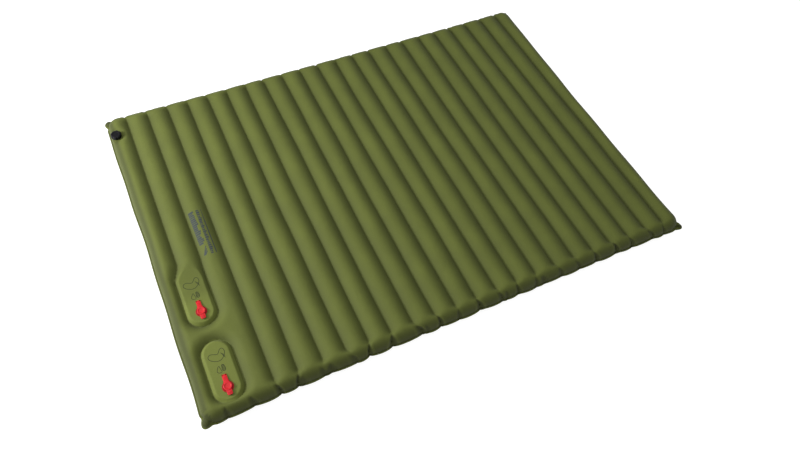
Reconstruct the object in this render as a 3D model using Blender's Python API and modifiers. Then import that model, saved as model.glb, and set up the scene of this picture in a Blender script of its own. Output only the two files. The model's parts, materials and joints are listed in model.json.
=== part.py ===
"""Double inflatable sleeping pad with two built-in foot pumps, for Blender 4.5. Metres, +Z up.

Origin: centre of the pad's footprint on the ground. +X runs from the pump end to the far end, across the
air tubes; +Y runs along the tubes, towards the edge with the deflate valve.
"""

import math

import bmesh
import bpy
from mathutils import Matrix, Vector

# Overall sizes of the inflated pad
PAD_LENGTH = 1.950
PAD_WIDTH = 1.400
PAD_HEIGHT = 0.090
TUBE_COUNT = 23
GROOVE_DEPTH = 0.017
WELD_RIM = 0.006
END_ROUND = 0.040

# Sheet stock
SKIN = 0.0004
WEB = 0.0003
GAP = 0.0003

# Foot pumps, oval in plan, and where their plugs sit
PUMP_WIDTH = 0.106
PUMP_LENGTH = 0.232
PUMP_INSET = 0.117
PUMP_PLACES = {"upper": -0.2525, "lower": -0.5454}
PANEL_THICKNESS = 0.0008
PANEL_CLEARANCE = 0.0006
PANEL_STEPS = ((0.006, 0.0060), (0.009, 0.0040), (0.011, 0.0015))
FOAM_CLEARANCE = 0.0010
FOAM_TOP_GAP = 0.0015
SHOULDER_RUN = 0.060
BULGE_RUN = 0.042

# Intake valve and its strapped plug
FLANGE_RADIUS = 0.0195
FLANGE_THICKNESS = 0.0016
BORE_RADIUS = 0.0085
NECK_RADIUS = 0.0110
COLLAR_HEIGHT = 0.0040
NECK_DEPTH = 0.0120
PLUG_RADIUS = 0.0145
PLUG_TOP = 0.0078
PIN_CLEARANCE = 0.0003
PIN_TAPER = 0.0010
PIN_DEPTH = 0.0030
STRAP_WIDTH = 0.0160
STRAP_THICKNESS = 0.0012
STRAP_REACH = 0.0430
TAB_WIDTH = 0.0180
TAB_REACH = 0.0310
BARREL_RADIUS = 0.0015
BARREL_WIDTH = 0.0080

# Thin one-way flaps
FLAP_THICKNESS = 0.0006
FLAP_OVERLAP = 0.0005
OUTLET_RADIUS = 0.0120
OUTLET_BORE = 0.0070
OUTLET_THICKNESS = 0.0030

# Deflate valve
VALVE_INSET = 0.034
VALVE_FROM_EDGE = 0.123
VALVE_SEAT_DROP = 0.011
VALVE_FLANGE = 0.0185
VALVE_FLANGE_THICKNESS = 0.0016
VALVE_COLLAR = 0.0150
VALVE_COLLAR_HEIGHT = 0.0080
VALVE_BORE = 0.0100
VALVE_NECK = 0.0130
VALVE_NECK_DEPTH = 0.0100
VALVE_FLAT = 0.0230
VALVE_BLEND = 0.0160
CAP_RADIUS = 0.0210
CAP_HEIGHT = 0.0135
CAP_LIFT = 0.0035
CAP_SCALLOPS = 8
SCALLOP_RADIUS = 0.0060
SCALLOP_DEPTH = 0.0016
STEM_RADIUS = 0.0030
SEAL_WIDTH = 0.0010

# Facets
TUBE_LINES = (0.0, 0.20, 0.38, 0.62, 0.80)
OVAL_SIDES = 24
TURN_STEPS = 20

HALF_LENGTH = PAD_LENGTH / 2
HALF_WIDTH = PAD_WIDTH / 2
SEAM_HEIGHT = PAD_HEIGHT / 2
TUBE_START = -HALF_LENGTH + WELD_RIM
PITCH = (PAD_LENGTH - 2 * WELD_RIM) / TUBE_COUNT
WEB_TOP = PAD_HEIGHT - GROOVE_DEPTH
WEB_BOTTOM = GROOVE_DEPTH
WEB_END = HALF_WIDTH - WELD_RIM - END_ROUND
PUMP_X = -HALF_LENGTH + PUMP_INSET
PLUG_OFFSET = -(PUMP_LENGTH - PUMP_WIDTH) / 2
PLATEAU = WEB_TOP + sum(rise for _, rise in PANEL_STEPS)
VALVE_X = -HALF_LENGTH + VALVE_INSET
VALVE_Y = HALF_WIDTH - VALVE_FROM_EDGE
VALVE_SEAT = PAD_HEIGHT - VALVE_SEAT_DROP
VALVE_RUN = VALVE_FLANGE + 0.001
SKIN_SAG = 2.5 * SKIN
OLIVE = (0.105, 0.130, 0.035)
OLIVE_DARK = (0.060, 0.075, 0.025)
RED = (0.720, 0.020, 0.025)
BLACK = (0.012, 0.012, 0.014)
SILICONE = (0.750, 0.740, 0.700)
FOAM = (0.550, 0.520, 0.380)


# ---------------------------------------------------------------- helpers
def clear_scene():
    """Empty the scene of objects."""
    for old in list(bpy.data.objects):
        bpy.data.objects.remove(old, do_unlink=True)


def collection(name):
    """A new collection linked to the scene."""
    made = bpy.data.collections.new(name)
    bpy.context.scene.collection.children.link(made)
    return made


def material(name, colour, roughness, metallic=0.0):
    """A Principled material of one plain colour."""
    made = bpy.data.materials.new(name)
    made.use_nodes = True
    shader = made.node_tree.nodes["Principled BSDF"]
    shader.inputs["Base Color"].default_value = (*colour, 1.0)
    shader.inputs["Roughness"].default_value = roughness
    shader.inputs["Metallic"].default_value = metallic
    return made


def finish(name, bm, place, colour=None, roughness=0.6):
    """Turn a bmesh into a named object in the given collection."""
    mesh = bpy.data.meshes.new(name)
    bm.to_mesh(mesh)
    bm.free()
    made = bpy.data.objects.new(name, mesh)
    place.objects.link(made)
    if colour is not None:
        mesh.materials.append(material(name, colour, roughness))
    return made


def smooth(made, angle=40):
    """Shade a round piece smooth, with its sharp edges kept."""
    made.data.shade_smooth()
    made.data.set_sharp_from_angle(angle=math.radians(angle))
    return made


def move(made, x=0.0, y=0.0, z=0.0):
    """Place an object by its location."""
    made.location = (x, y, z)
    return made


def cutter(made):
    """Mark an object as a tool that shapes others."""
    made.hide_render = True
    made.display_type = "WIRE"
    return made


def combine(made, other, operation):
    """Add a Boolean modifier that cuts or joins another object."""
    step = made.modifiers.new(operation.lower(), "BOOLEAN")
    step.operation = operation
    step.object = other
    return made


def thicken(made, thickness, offset=-1.0):
    """Give an open surface its wall."""
    wall = made.modifiers.new("wall", "SOLIDIFY")
    wall.thickness = thickness
    wall.offset = offset
    wall.use_even_offset = True
    return made


def turned(name, profile, place, colour=None, closed=False, roughness=0.5, steps=TURN_STEPS):
    """A turned solid; the profile of (radius, height) runs down its outer side."""
    bm = bmesh.new()
    points = [bm.verts.new((radius, 0.0, height)) for radius, height in profile]
    for first, second in zip(points, points[1:]):
        bm.edges.new((first, second))
    if closed:
        bm.edges.new((points[-1], points[0]))
    made = finish(name, bm, place, colour, roughness)
    screw = made.modifiers.new("turn", "SCREW")
    screw.steps = steps
    screw.render_steps = steps
    screw.use_merge_vertices = True
    screw.merge_threshold = 0.00005
    return made


def oval_bmesh(width, length, z, cap=True):
    """A flat oval with round ends: a circle whose two halves are drawn apart along Y."""
    bm = bmesh.new()
    bmesh.ops.create_circle(bm, cap_ends=cap, segments=OVAL_SIDES, radius=width / 2)
    half_step = Matrix.Rotation(math.pi / OVAL_SIDES, 3, "Z")
    bmesh.ops.rotate(bm, verts=bm.verts, cent=(0, 0, 0), matrix=half_step)
    stretch = (length - width) / 2
    for vert in bm.verts:
        vert.co.y += math.copysign(stretch, vert.co.y)
        vert.co.z = z
    return bm


def oval_prism(name, width, length, low, high, place, colour=None, roughness=0.9):
    """An upright solid of oval plan."""
    bm = oval_bmesh(width, length, low)
    raised = bmesh.ops.extrude_face_region(bm, geom=list(bm.faces))["geom"]
    verts = [item for item in raised if isinstance(item, bmesh.types.BMVert)]
    bmesh.ops.translate(bm, verts=verts, vec=(0, 0, high - low))
    bmesh.ops.recalc_face_normals(bm, faces=bm.faces)
    return finish(name, bm, place, colour, roughness)


def disc(name, radius, thickness, place, colour=None, steps=TURN_STEPS):
    """A flat round disc standing on its own origin."""
    bm = bmesh.new()
    bmesh.ops.create_cone(
        bm, cap_ends=True, segments=steps, radius1=radius, radius2=radius, depth=thickness
    )
    bmesh.ops.translate(bm, verts=bm.verts, vec=(0, 0, thickness / 2))
    return finish(name, bm, place, colour)


def plate(name, outline, thickness, place):
    """A flat plate from a closed outline, drawn as a filled curve and made a mesh."""
    curve = bpy.data.curves.new(name, "CURVE")
    curve.dimensions = "2D"
    curve.fill_mode = "BOTH"
    curve.extrude = thickness / 2
    spline = curve.splines.new("POLY")
    spline.points.add(len(outline) - 1)
    for point, (x, y) in zip(spline.points, outline):
        point.co = (x, y, 0.0, 1.0)
    spline.use_cyclic_u = True
    drawn = bpy.data.objects.new(name + "_drawn", curve)
    place.objects.link(drawn)
    seen = drawn.evaluated_get(bpy.context.evaluated_depsgraph_get())
    mesh = bpy.data.meshes.new_from_object(seen)
    bm = bmesh.new()
    bm.from_mesh(mesh)
    bmesh.ops.remove_doubles(bm, verts=bm.verts, dist=0.00001)
    bmesh.ops.recalc_face_normals(bm, faces=bm.faces)
    bpy.data.objects.remove(drawn, do_unlink=True)
    bpy.data.meshes.remove(mesh)
    return finish(name, bm, place)


def barrel(name, centre, width, place):
    """A short round bar along X."""
    bm = bmesh.new()
    turn = Matrix.Translation(centre) @ Matrix.Rotation(math.pi / 2, 4, "Y")
    bmesh.ops.create_cone(
        bm, cap_ends=True, segments=12, radius1=BARREL_RADIUS, radius2=BARREL_RADIUS,
        depth=width, matrix=turn,
    )
    return finish(name, bm, place)


# ---------------------------------------------------------------- the inflated surface
def oval_distance(x, y, pump_y):
    """Distance from a pump's oval outline, negative inside it."""
    straight = (PUMP_LENGTH - PUMP_WIDTH) / 2
    along = max(abs(y - pump_y) - straight, 0.0)
    return math.hypot(x - PUMP_X, along) - PUMP_WIDTH / 2


def ease(value):
    """A smooth step from 0 to 1."""
    value = min(max(value, 0.0), 1.0)
    return value * value * (3 - 2 * value)


def rounded(distance):
    """Share of the full height at a distance in from the weld, as a quarter ellipse."""
    run = min(max(distance / END_ROUND, 0.0), 1.0)
    return math.sqrt(1 - (1 - run) ** 2)


def crown(x, y, open_ovals):
    """Height of the fabric over the grooves, from 0 in a groove to 1 on a tube's crest."""
    across = (x - TUBE_START) / PITCH
    share = across - min(max(math.floor(across), 0), TUBE_COUNT - 1)
    crest_line = 1 - (2 * TUBE_LINES[2] - 1) ** 2
    tube = min(max(1 - (2 * share - 1) ** 2, 0.0) / crest_line, 1.0)
    groove_3 = TUBE_START + 3 * PITCH
    if x >= groove_3:
        return tube
    clear = min(oval_distance(x, y, place) for place in PUMP_PLACES.values())
    if clear < 0:
        clear = 0.0 if open_ovals else -clear
    near = min(clear, groove_3 - x)
    pillow = 1 - (1 - min(near / BULGE_RUN, 1.0)) ** 2
    shoulder = PUMP_PLACES["upper"] + PUMP_LENGTH / 2
    return pillow + (tube - pillow) * ease((y - shoulder) / SHOULDER_RUN)


def skin_height(x, y, open_ovals):
    """Height of a skin's outer face above the seam plane."""
    in_x = HALF_LENGTH - WELD_RIM - abs(x)
    in_y = HALF_WIDTH - WELD_RIM - abs(y)
    full = WEB_TOP - SEAM_HEIGHT + GROOVE_DEPTH * crown(x, y, open_ovals)
    return GAP / 2 + SKIN + (full - GAP / 2 - SKIN) * rounded(in_x) * rounded(in_y)


def line_up(stops):
    """Sorted places of the grid lines, without doubles."""
    found = []
    for stop in sorted(stops):
        if not found or stop - found[-1] > 0.0005:
            found.append(stop)
    return found


def skin_bmesh(open_ovals, valve_seat):
    """One skin as an open surface: a grid set to the tubes, finer around pumps and valve."""
    lines_x = [-HALF_LENGTH, HALF_LENGTH, HALF_LENGTH - WELD_RIM]
    lines_x += [TUBE_START + (k + part) * PITCH for k in range(TUBE_COUNT) for part in TUBE_LINES]
    if valve_seat:
        lines_x += [VALVE_X - VALVE_RUN, VALVE_X + VALVE_RUN]
    ends = (0.0, WELD_RIM, WELD_RIM + 0.3 * END_ROUND, WELD_RIM + END_ROUND)
    lines_y = [side * (HALF_WIDTH - end) for side in (-1, 1) for end in ends]
    lines_x, lines_y = line_up(lines_x), line_up(lines_y)
    bm = bmesh.new()
    cells_x, cells_y = len(lines_x) - 1, len(lines_y) - 1
    bmesh.ops.create_grid(bm, x_segments=cells_x, y_segments=cells_y, size=0.5)
    for vert in bm.verts:
        column, row = round((vert.co.x + 0.5) * cells_x), round((vert.co.y + 0.5) * cells_y)
        vert.co = (lines_x[column], lines_y[row], 0.0)
    straight = (PUMP_LENGTH - PUMP_WIDTH) / 2
    offsets = (straight, straight + 0.34 * PUMP_WIDTH, straight + 0.5 * PUMP_WIDTH)
    rows = [y + side * off for y in PUMP_PLACES.values() for side in (-1, 1) for off in offsets]
    rows += [sum(PUMP_PLACES.values()) / 2]
    rows += [PUMP_PLACES["upper"] + PUMP_LENGTH / 2 + share * SHOULDER_RUN for share in (0.33, 0.67, 1)]
    groove_3 = TUBE_START + 3 * PITCH
    split_rows(bm, rows, groove_3)
    if valve_seat:
        groove_1 = TUBE_START + PITCH
        reach = VALVE_FLAT + VALVE_BLEND
        rows = [VALVE_Y + share * reach for share in (-1, -0.6, -0.25, 0.25, 0.6, 1)]
        split_rows(bm, rows, groove_1)
    for vert in bm.verts:
        vert.co.z = skin_height(vert.co.x, vert.co.y, open_ovals)
        if valve_seat:
            away = math.hypot(vert.co.x - VALVE_X, vert.co.y - VALVE_Y)
            seat = VALVE_SEAT - SEAM_HEIGHT
            inside = ease((vert.co.x - TUBE_START) / (VALVE_X - VALVE_RUN - TUBE_START))
            share = inside * (1 - ease((away - VALVE_FLAT) / VALVE_BLEND))
            vert.co.z += (seat - vert.co.z) * share
    return bm


def split_rows(bm, rows, limit_x):
    """Add grid lines along X to the part of a skin that lies before limit_x."""
    for row in rows:
        faces = [face for face in bm.faces if face.calc_center_median().x < limit_x]
        edges = {edge for face in faces for edge in face.edges}
        verts = {vert for face in faces for vert in face.verts}
        geom = [*faces, *edges, *verts]
        bmesh.ops.bisect_plane(
            bm, geom=geom, dist=0.0004, plane_co=(0, row, 0), plane_no=(0, 1, 0)
        )


# ---------------------------------------------------------------- pad
def build_skins(parts, tools):
    """The top skin with its openings, and the bottom skin."""
    bm = skin_bmesh(open_ovals=True, valve_seat=True)
    bmesh.ops.translate(bm, verts=bm.verts, vec=(0, 0, SEAM_HEIGHT))
    bmesh.ops.recalc_face_normals(bm, faces=bm.faces)
    if sum(face.normal.z for face in bm.faces) < 0:
        bmesh.ops.reverse_faces(bm, faces=bm.faces)
    top = thicken(finish("top_skin", bm, parts, OLIVE, 0.7), SKIN)
    for name, pump_y in PUMP_PLACES.items():
        width, length = PUMP_WIDTH + 2 * GAP, PUMP_LENGTH + 2 * GAP
        hole = oval_prism("hole_" + name, width, length, SEAM_HEIGHT, 2 * PAD_HEIGHT, tools)
        combine(top, cutter(move(hole, PUMP_X, pump_y)), "DIFFERENCE")
    hole = disc("hole_valve", VALVE_FLANGE + GAP, PAD_HEIGHT, tools, steps=TURN_STEPS)
    combine(top, cutter(move(hole, VALVE_X, VALVE_Y, SEAM_HEIGHT + 0.01)), "DIFFERENCE")

    bm = skin_bmesh(open_ovals=False, valve_seat=False)
    bmesh.ops.scale(bm, verts=bm.verts, vec=(1, 1, -1))
    bmesh.ops.translate(bm, verts=bm.verts, vec=(0, 0, SEAM_HEIGHT))
    bmesh.ops.recalc_face_normals(bm, faces=bm.faces)
    if sum(face.normal.z for face in bm.faces) > 0:
        bmesh.ops.reverse_faces(bm, faces=bm.faces)
    thicken(finish("bottom_skin", bm, parts, OLIVE_DARK, 0.7), SKIN)


def build_webs(parts):
    """The upright webs that tie the skins together between the tubes."""
    shoulder = PUMP_PLACES["upper"] + PUMP_LENGTH / 2 + 0.008
    low, high = WEB_BOTTOM + SKIN_SAG, WEB_TOP - SKIN_SAG
    for number in range(1, TUBE_COUNT):
        x = TUBE_START + number * PITCH
        start = shoulder if abs(x - PUMP_X) < PUMP_WIDTH / 2 + 0.01 else -WEB_END
        bm = bmesh.new()
        bmesh.ops.create_cube(bm, size=1.0)
        bmesh.ops.scale(bm, verts=bm.verts, vec=(WEB, WEB_END - start, high - low))
        web = finish(f"baffle_{number:02d}", bm, parts, OLIVE_DARK, 0.8)
        move(web, x, (start + WEB_END) / 2, (low + high) / 2)


# ---------------------------------------------------------------- foot pumps
def build_pump(name, pump_y, parts, tools):
    """One foot pump: fabric wall, foam, press panel, intake valve with plug, outlet valve."""
    plug_y = pump_y + PLUG_OFFSET
    outlet_z = SEAM_HEIGHT

    bm = oval_bmesh(PUMP_WIDTH, PUMP_LENGTH, WEB_BOTTOM + SKIN_SAG, cap=False)
    raised = bmesh.ops.extrude_edge_only(bm, edges=list(bm.edges))["geom"]
    verts = [item for item in raised if isinstance(item, bmesh.types.BMVert)]
    bmesh.ops.translate(bm, verts=verts, vec=(0, 0, WEB_TOP - WEB_BOTTOM - SKIN_SAG))
    bmesh.ops.recalc_face_normals(bm, faces=bm.faces)
    side = max(bm.faces, key=lambda face: face.calc_center_median().x)
    if side.normal.x < 0:
        bmesh.ops.reverse_faces(bm, faces=bm.faces)
    wall = thicken(finish("pump_wall_" + name, bm, parts, OLIVE_DARK, 0.8), SKIN)
    move(wall, PUMP_X, pump_y)
    port = disc("port_" + name, OUTLET_BORE, PUMP_WIDTH, tools)
    port.rotation_euler = (0, math.pi / 2, 0)
    combine(wall, cutter(move(port, PUMP_X, pump_y, outlet_z)), "DIFFERENCE")

    inner_width = PUMP_WIDTH - 2 * SKIN
    inner_length = PUMP_LENGTH - 2 * SKIN
    trim = 2 * PANEL_CLEARANCE
    bm = oval_bmesh(inner_width - trim, inner_length - trim, WEB_TOP)
    for inset, rise in PANEL_STEPS:
        top = max(bm.faces, key=lambda face: face.calc_area())
        bmesh.ops.inset_individual(bm, faces=[top], thickness=inset, use_even_offset=True)
        bmesh.ops.translate(bm, verts=top.verts, vec=(0, 0, rise))
    if sum(face.normal.z for face in bm.faces) < 0:
        bmesh.ops.reverse_faces(bm, faces=bm.faces)
    panel = thicken(finish("pump_panel_" + name, bm, parts, OLIVE, 0.7), PANEL_THICKNESS)
    move(panel, PUMP_X, pump_y)
    neck_hole = disc("neck_hole_" + name, NECK_RADIUS + GAP, 0.02, tools)
    combine(panel, cutter(move(neck_hole, PUMP_X, plug_y, PLATEAU - 0.01)), "DIFFERENCE")

    trim = 2 * FOAM_CLEARANCE
    foam_low = WEB_BOTTOM + SKIN_SAG
    foam_high = WEB_TOP - PANEL_THICKNESS - FOAM_TOP_GAP
    foam = oval_prism(
        "pump_foam_" + name, inner_width - trim, inner_length - trim, foam_low, foam_high, parts, FOAM
    )
    move(foam, PUMP_X, pump_y)
    pocket = disc("pocket_" + name, NECK_RADIUS + 0.003, foam_high, tools)
    pocket_depth = PLATEAU - NECK_DEPTH - 2.4 * BORE_RADIUS
    combine(foam, cutter(move(pocket, PUMP_X, plug_y, pocket_depth)), "DIFFERENCE")

    build_intake_valve(name, Vector((PUMP_X, plug_y, PLATEAU)), parts, tools)
    build_outlet_valve(name, Vector((PUMP_X + PUMP_WIDTH / 2, pump_y, outlet_z)), parts)


def build_intake_valve(name, seat, parts, tools):
    """The red valve in a press panel: flanged body with strap leaf, plug on its strap, flap."""
    hinge = Vector((0, STRAP_REACH, BARREL_RADIUS + 0.0005))
    flange_low, flange_high = GAP, GAP + FLANGE_THICKNESS
    body = turned(
        "intake_valve_body_" + name,
        [
            (BORE_RADIUS, COLLAR_HEIGHT),
            (NECK_RADIUS, COLLAR_HEIGHT),
            (NECK_RADIUS + 0.0010, flange_high),
            (FLANGE_RADIUS - 0.0008, flange_high),
            (FLANGE_RADIUS, flange_low + 0.0006),
            (FLANGE_RADIUS, flange_low),
            (NECK_RADIUS, flange_low),
            (NECK_RADIUS, -NECK_DEPTH),
            (BORE_RADIUS, -NECK_DEPTH),
        ],
        parts, RED, closed=True, roughness=0.35,
    )
    move(body, *seat)
    half_strap, half_slot = STRAP_WIDTH / 2, BARREL_WIDTH / 2 + 0.0004
    notch = STRAP_REACH - BARREL_RADIUS - 0.0010
    leaf = plate(
        "leaf_" + name,
        [
            (-half_strap, NECK_RADIUS + 0.004), (half_strap, NECK_RADIUS + 0.004),
            (half_strap, STRAP_REACH), (half_slot, STRAP_REACH), (half_slot, notch),
            (-half_slot, notch), (-half_slot, STRAP_REACH), (-half_strap, STRAP_REACH),
        ],
        STRAP_THICKNESS, tools,
    )
    combine(body, cutter(move(leaf, *(seat + Vector((0, 0, GAP + STRAP_THICKNESS / 2))))), "UNION")
    outer_width = half_strap - half_slot
    for side, word in ((-1, "left"), (1, "right")):
        centre = seat + hinge + Vector((side * (half_slot + outer_width / 2), 0, 0))
        combine(body, cutter(barrel(f"barrel_{word}_{name}", centre, outer_width, tools)), "UNION")

    pin_top = BORE_RADIUS - PIN_CLEARANCE
    plug_low = COLLAR_HEIGHT + GAP
    plug = turned(
        "intake_cap_" + name,
        [
            (0.0, PLUG_TOP), (0.6 * PLUG_RADIUS, PLUG_TOP), (PLUG_RADIUS - 0.001, PLUG_TOP - 0.0008),
            (PLUG_RADIUS, PLUG_TOP - 0.002), (PLUG_RADIUS, plug_low), (pin_top, plug_low),
            (pin_top - PIN_TAPER, -PIN_DEPTH), (0.0, -PIN_DEPTH),
        ],
        parts, RED, roughness=0.35,
    )
    strap_start = 0.6 * PLUG_RADIUS
    strap_run = STRAP_REACH - strap_start
    half_barrel = BARREL_WIDTH / 2
    strap = plate(
        "strap_" + name,
        [
            (-half_strap, 0.0), (half_strap, 0.0), (half_strap, strap_run - 0.0035),
            (half_barrel, strap_run - 0.0035), (half_barrel, strap_run),
            (-half_barrel, strap_run), (-half_barrel, strap_run - 0.0035),
            (-half_strap, strap_run - 0.0035),
        ],
        STRAP_THICKNESS, tools,
    )
    strap_high = plug_low + STRAP_THICKNESS
    slope = math.atan2(strap_high - hinge.z, strap_run)
    strap.rotation_euler = (-slope, 0, 0)
    move(strap, *(seat + Vector((0, strap_start, strap_high))))
    tab = plate(
        "tab_" + name,
        [
            (-TAB_WIDTH / 2, -0.5 * PLUG_RADIUS), (-TAB_WIDTH / 2, -TAB_REACH + 0.004),
            (-TAB_WIDTH / 2 + 0.004, -TAB_REACH), (TAB_WIDTH / 2 - 0.004, -TAB_REACH),
            (TAB_WIDTH / 2, -TAB_REACH + 0.004), (TAB_WIDTH / 2, -0.5 * PLUG_RADIUS),
        ],
        1.5 * STRAP_THICKNESS, tools,
    )
    move(tab, *(seat + Vector((0, 0, plug_low + STRAP_THICKNESS))))
    combine(move(plug, *seat), cutter(strap), "UNION")
    combine(plug, cutter(tab), "UNION")
    centre_bar = barrel("barrel_centre_" + name, seat + hinge, BARREL_WIDTH, tools)
    combine(plug, cutter(centre_bar), "UNION")

    flap = disc(
        "intake_flap_" + name, BORE_RADIUS + FLAP_OVERLAP, FLAP_THICKNESS, parts, SILICONE
    )
    move(flap, seat.x, seat.y, seat.z - NECK_DEPTH - GAP - FLAP_THICKNESS)


def build_outlet_valve(name, seat, parts):
    """The one-way valve on a pump's wall that lets air into the tubes."""
    body = turned(
        "outlet_valve_body_" + name,
        [
            (OUTLET_BORE, OUTLET_THICKNESS), (OUTLET_RADIUS - 0.002, OUTLET_THICKNESS),
            (OUTLET_RADIUS, OUTLET_THICKNESS / 2), (OUTLET_RADIUS, 0.0), (OUTLET_BORE, 0.0),
        ],
        parts, BLACK, closed=True,
    )
    body.rotation_euler = (0, math.pi / 2, 0)
    move(body, seat.x + GAP, seat.y, seat.z)
    flap = disc("outlet_flap_" + name, OUTLET_BORE + 3 * FLAP_OVERLAP, FLAP_THICKNESS, parts, SILICONE)
    flap.rotation_euler = (0, math.pi / 2, 0)
    move(flap, seat.x + 2 * GAP + OUTLET_THICKNESS, seat.y, seat.z)


# ---------------------------------------------------------------- deflate valve
def build_deflate_valve(parts, tools):
    """The black screw valve on the corner: base, stem with its seal, and the cap that lifts them."""
    seat = (VALVE_X, VALVE_Y, VALVE_SEAT)
    flange_low = GAP - VALVE_FLANGE_THICKNESS
    base = turned(
        "deflate_valve_base",
        [
            (VALVE_BORE, VALVE_COLLAR_HEIGHT), (VALVE_COLLAR, VALVE_COLLAR_HEIGHT),
            (VALVE_COLLAR, GAP), (VALVE_FLANGE, GAP), (VALVE_FLANGE, flange_low),
            (VALVE_NECK, flange_low), (VALVE_NECK, -VALVE_NECK_DEPTH), (VALVE_BORE, -VALVE_NECK_DEPTH),
        ],
        parts, BLACK, closed=True,
    )
    move(base, *seat)
    seal_outer = VALVE_BORE - GAP
    carrier = seal_outer - SEAL_WIDTH - GAP
    stem_top = CAP_LIFT + 0.75 * CAP_HEIGHT
    carrier_low, carrier_high = -0.8 * VALVE_NECK_DEPTH, -0.5 * VALVE_NECK_DEPTH
    stem = turned(
        "deflate_valve_stem",
        [
            (0.0, stem_top), (STEM_RADIUS, stem_top), (STEM_RADIUS, carrier_high),
            (carrier, carrier_high), (carrier, carrier_low), (0.0, carrier_low),
        ],
        parts, BLACK,
    )
    move(stem, *seat)
    seal = turned(
        "deflate_valve_seal",
        [
            (carrier + GAP, carrier_high), (seal_outer, carrier_high),
            (seal_outer, carrier_low), (carrier + GAP, carrier_low),
        ],
        parts, SILICONE, closed=True,
    )
    move(seal, *seat)
    recess = VALVE_COLLAR + 2 * GAP
    roof = VALVE_COLLAR_HEIGHT + 2 * GAP
    cap_top = CAP_LIFT + CAP_HEIGHT
    socket = stem_top + GAP
    cap = turned(
        "deflate_valve_cap",
        [
            (0.0, cap_top), (0.8 * CAP_RADIUS, cap_top), (CAP_RADIUS, cap_top - 0.12 * CAP_RADIUS),
            (CAP_RADIUS, CAP_LIFT), (recess, CAP_LIFT), (recess, roof),
            (STEM_RADIUS + GAP, roof), (STEM_RADIUS + GAP, socket), (0.0, socket),
        ],
        parts, BLACK, steps=2 * TURN_STEPS,
    )
    move(cap, *seat)
    for number in range(CAP_SCALLOPS):
        angle = 2 * math.pi * number / CAP_SCALLOPS
        away = CAP_RADIUS + SCALLOP_RADIUS - SCALLOP_DEPTH
        grip = disc(f"scallop_{number}", SCALLOP_RADIUS, 2 * cap_top, tools, steps=12)
        x, y = VALVE_X + away * math.cos(angle), VALVE_Y + away * math.sin(angle)
        combine(cap, cutter(move(grip, x, y, VALVE_SEAT)), "DIFFERENCE")


def main():
    """Build the whole pad."""
    clear_scene()
    parts, tools = collection("sleeping_pad"), collection("cutters")
    build_skins(parts, tools)
    build_webs(parts)
    for name, pump_y in PUMP_PLACES.items():
        build_pump(name, pump_y, parts, tools)
    build_deflate_valve(parts, tools)
    for made in parts.objects:
        smooth(made)


main()
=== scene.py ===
"""Looks of the two-person inflatable sleeping pad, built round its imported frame.

Metres, +Z up. +X runs across the air tubes from the pump end, +Y along them towards the deflate valve.
"""

import json
import logging
import math
from collections.abc import Callable
from dataclasses import dataclass
from enum import Enum

import bmesh
import bpy
import numpy as np
from mathutils import Matrix, Vector

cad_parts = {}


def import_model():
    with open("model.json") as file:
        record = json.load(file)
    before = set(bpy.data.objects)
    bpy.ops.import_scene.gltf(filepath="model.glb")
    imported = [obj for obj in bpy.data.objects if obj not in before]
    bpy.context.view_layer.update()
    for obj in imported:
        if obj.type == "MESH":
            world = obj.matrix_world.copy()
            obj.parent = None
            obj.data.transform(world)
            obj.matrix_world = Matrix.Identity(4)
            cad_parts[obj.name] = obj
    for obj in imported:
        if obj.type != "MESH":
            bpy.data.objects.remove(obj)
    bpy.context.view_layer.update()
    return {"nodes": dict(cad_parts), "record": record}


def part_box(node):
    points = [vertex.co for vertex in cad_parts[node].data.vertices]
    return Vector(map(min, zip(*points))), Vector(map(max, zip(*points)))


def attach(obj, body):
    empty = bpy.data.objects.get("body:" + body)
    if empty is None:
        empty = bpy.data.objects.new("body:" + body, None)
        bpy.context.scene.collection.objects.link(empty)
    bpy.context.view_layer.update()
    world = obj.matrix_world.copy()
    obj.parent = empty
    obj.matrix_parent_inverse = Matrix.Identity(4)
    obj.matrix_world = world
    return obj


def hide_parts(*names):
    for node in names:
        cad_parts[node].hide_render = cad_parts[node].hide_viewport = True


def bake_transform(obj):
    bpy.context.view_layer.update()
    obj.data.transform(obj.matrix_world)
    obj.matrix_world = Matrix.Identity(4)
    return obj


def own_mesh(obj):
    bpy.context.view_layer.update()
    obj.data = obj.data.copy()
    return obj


log = logging.getLogger("sleeping_pad")

Colour = tuple[float, float, float]
Spot = tuple[float, float, float]
Path = list[tuple[float, float]]

MILLIMETRE = 0.001
WAVE_SCALE = 20.0  # a Wave node's own factor on its scale
SHARP_ANGLE = 40.0
WEB_COUNT = 22
INK_TOP, INK_FOOT = 0.00014, 0.00002  # heights of a printed line's faces over the cloth
PUMP_SEAT = 0.0845  # height of the intake valves' seats on the press panels
DEFLATE_SEAT = 0.079  # height of the deflate valve's seat on the cover


# ---------------------------------------------------------------- small tools
def ease(value: np.ndarray) -> np.ndarray:
    """A smooth step from 0 to 1."""
    held = np.clip(value, 0.0, 1.0)
    return held * held * (3.0 - 2.0 * held)


def soft_least(first: np.ndarray, second: np.ndarray, width: float) -> np.ndarray:
    """The lesser of two values, with the corner between them rounded.

    Args:
        first: One set of values.
        second: The other set, or one number for all.
        width: How far from the corner the rounding reaches.

    Returns:
        The rounded lesser values.
    """
    share = np.clip(0.5 + 0.5 * (second - first) / width, 0.0, 1.0)
    return second + (first - second) * share - width * share * (1.0 - share)


def add_piece(name: str, mesh: bpy.types.Mesh, finish: bpy.types.Material) -> bpy.types.Object:
    """Put a mesh in the scene as a piece with one finish.

    Args:
        name: The piece's name.
        mesh: Its mesh, already in place.
        finish: The material it wears.

    Returns:
        The new object, at the origin.
    """
    piece = bpy.data.objects.new(name, mesh)
    bpy.context.scene.collection.objects.link(piece)
    mesh.materials.clear()
    mesh.materials.append(finish)
    return piece


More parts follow.
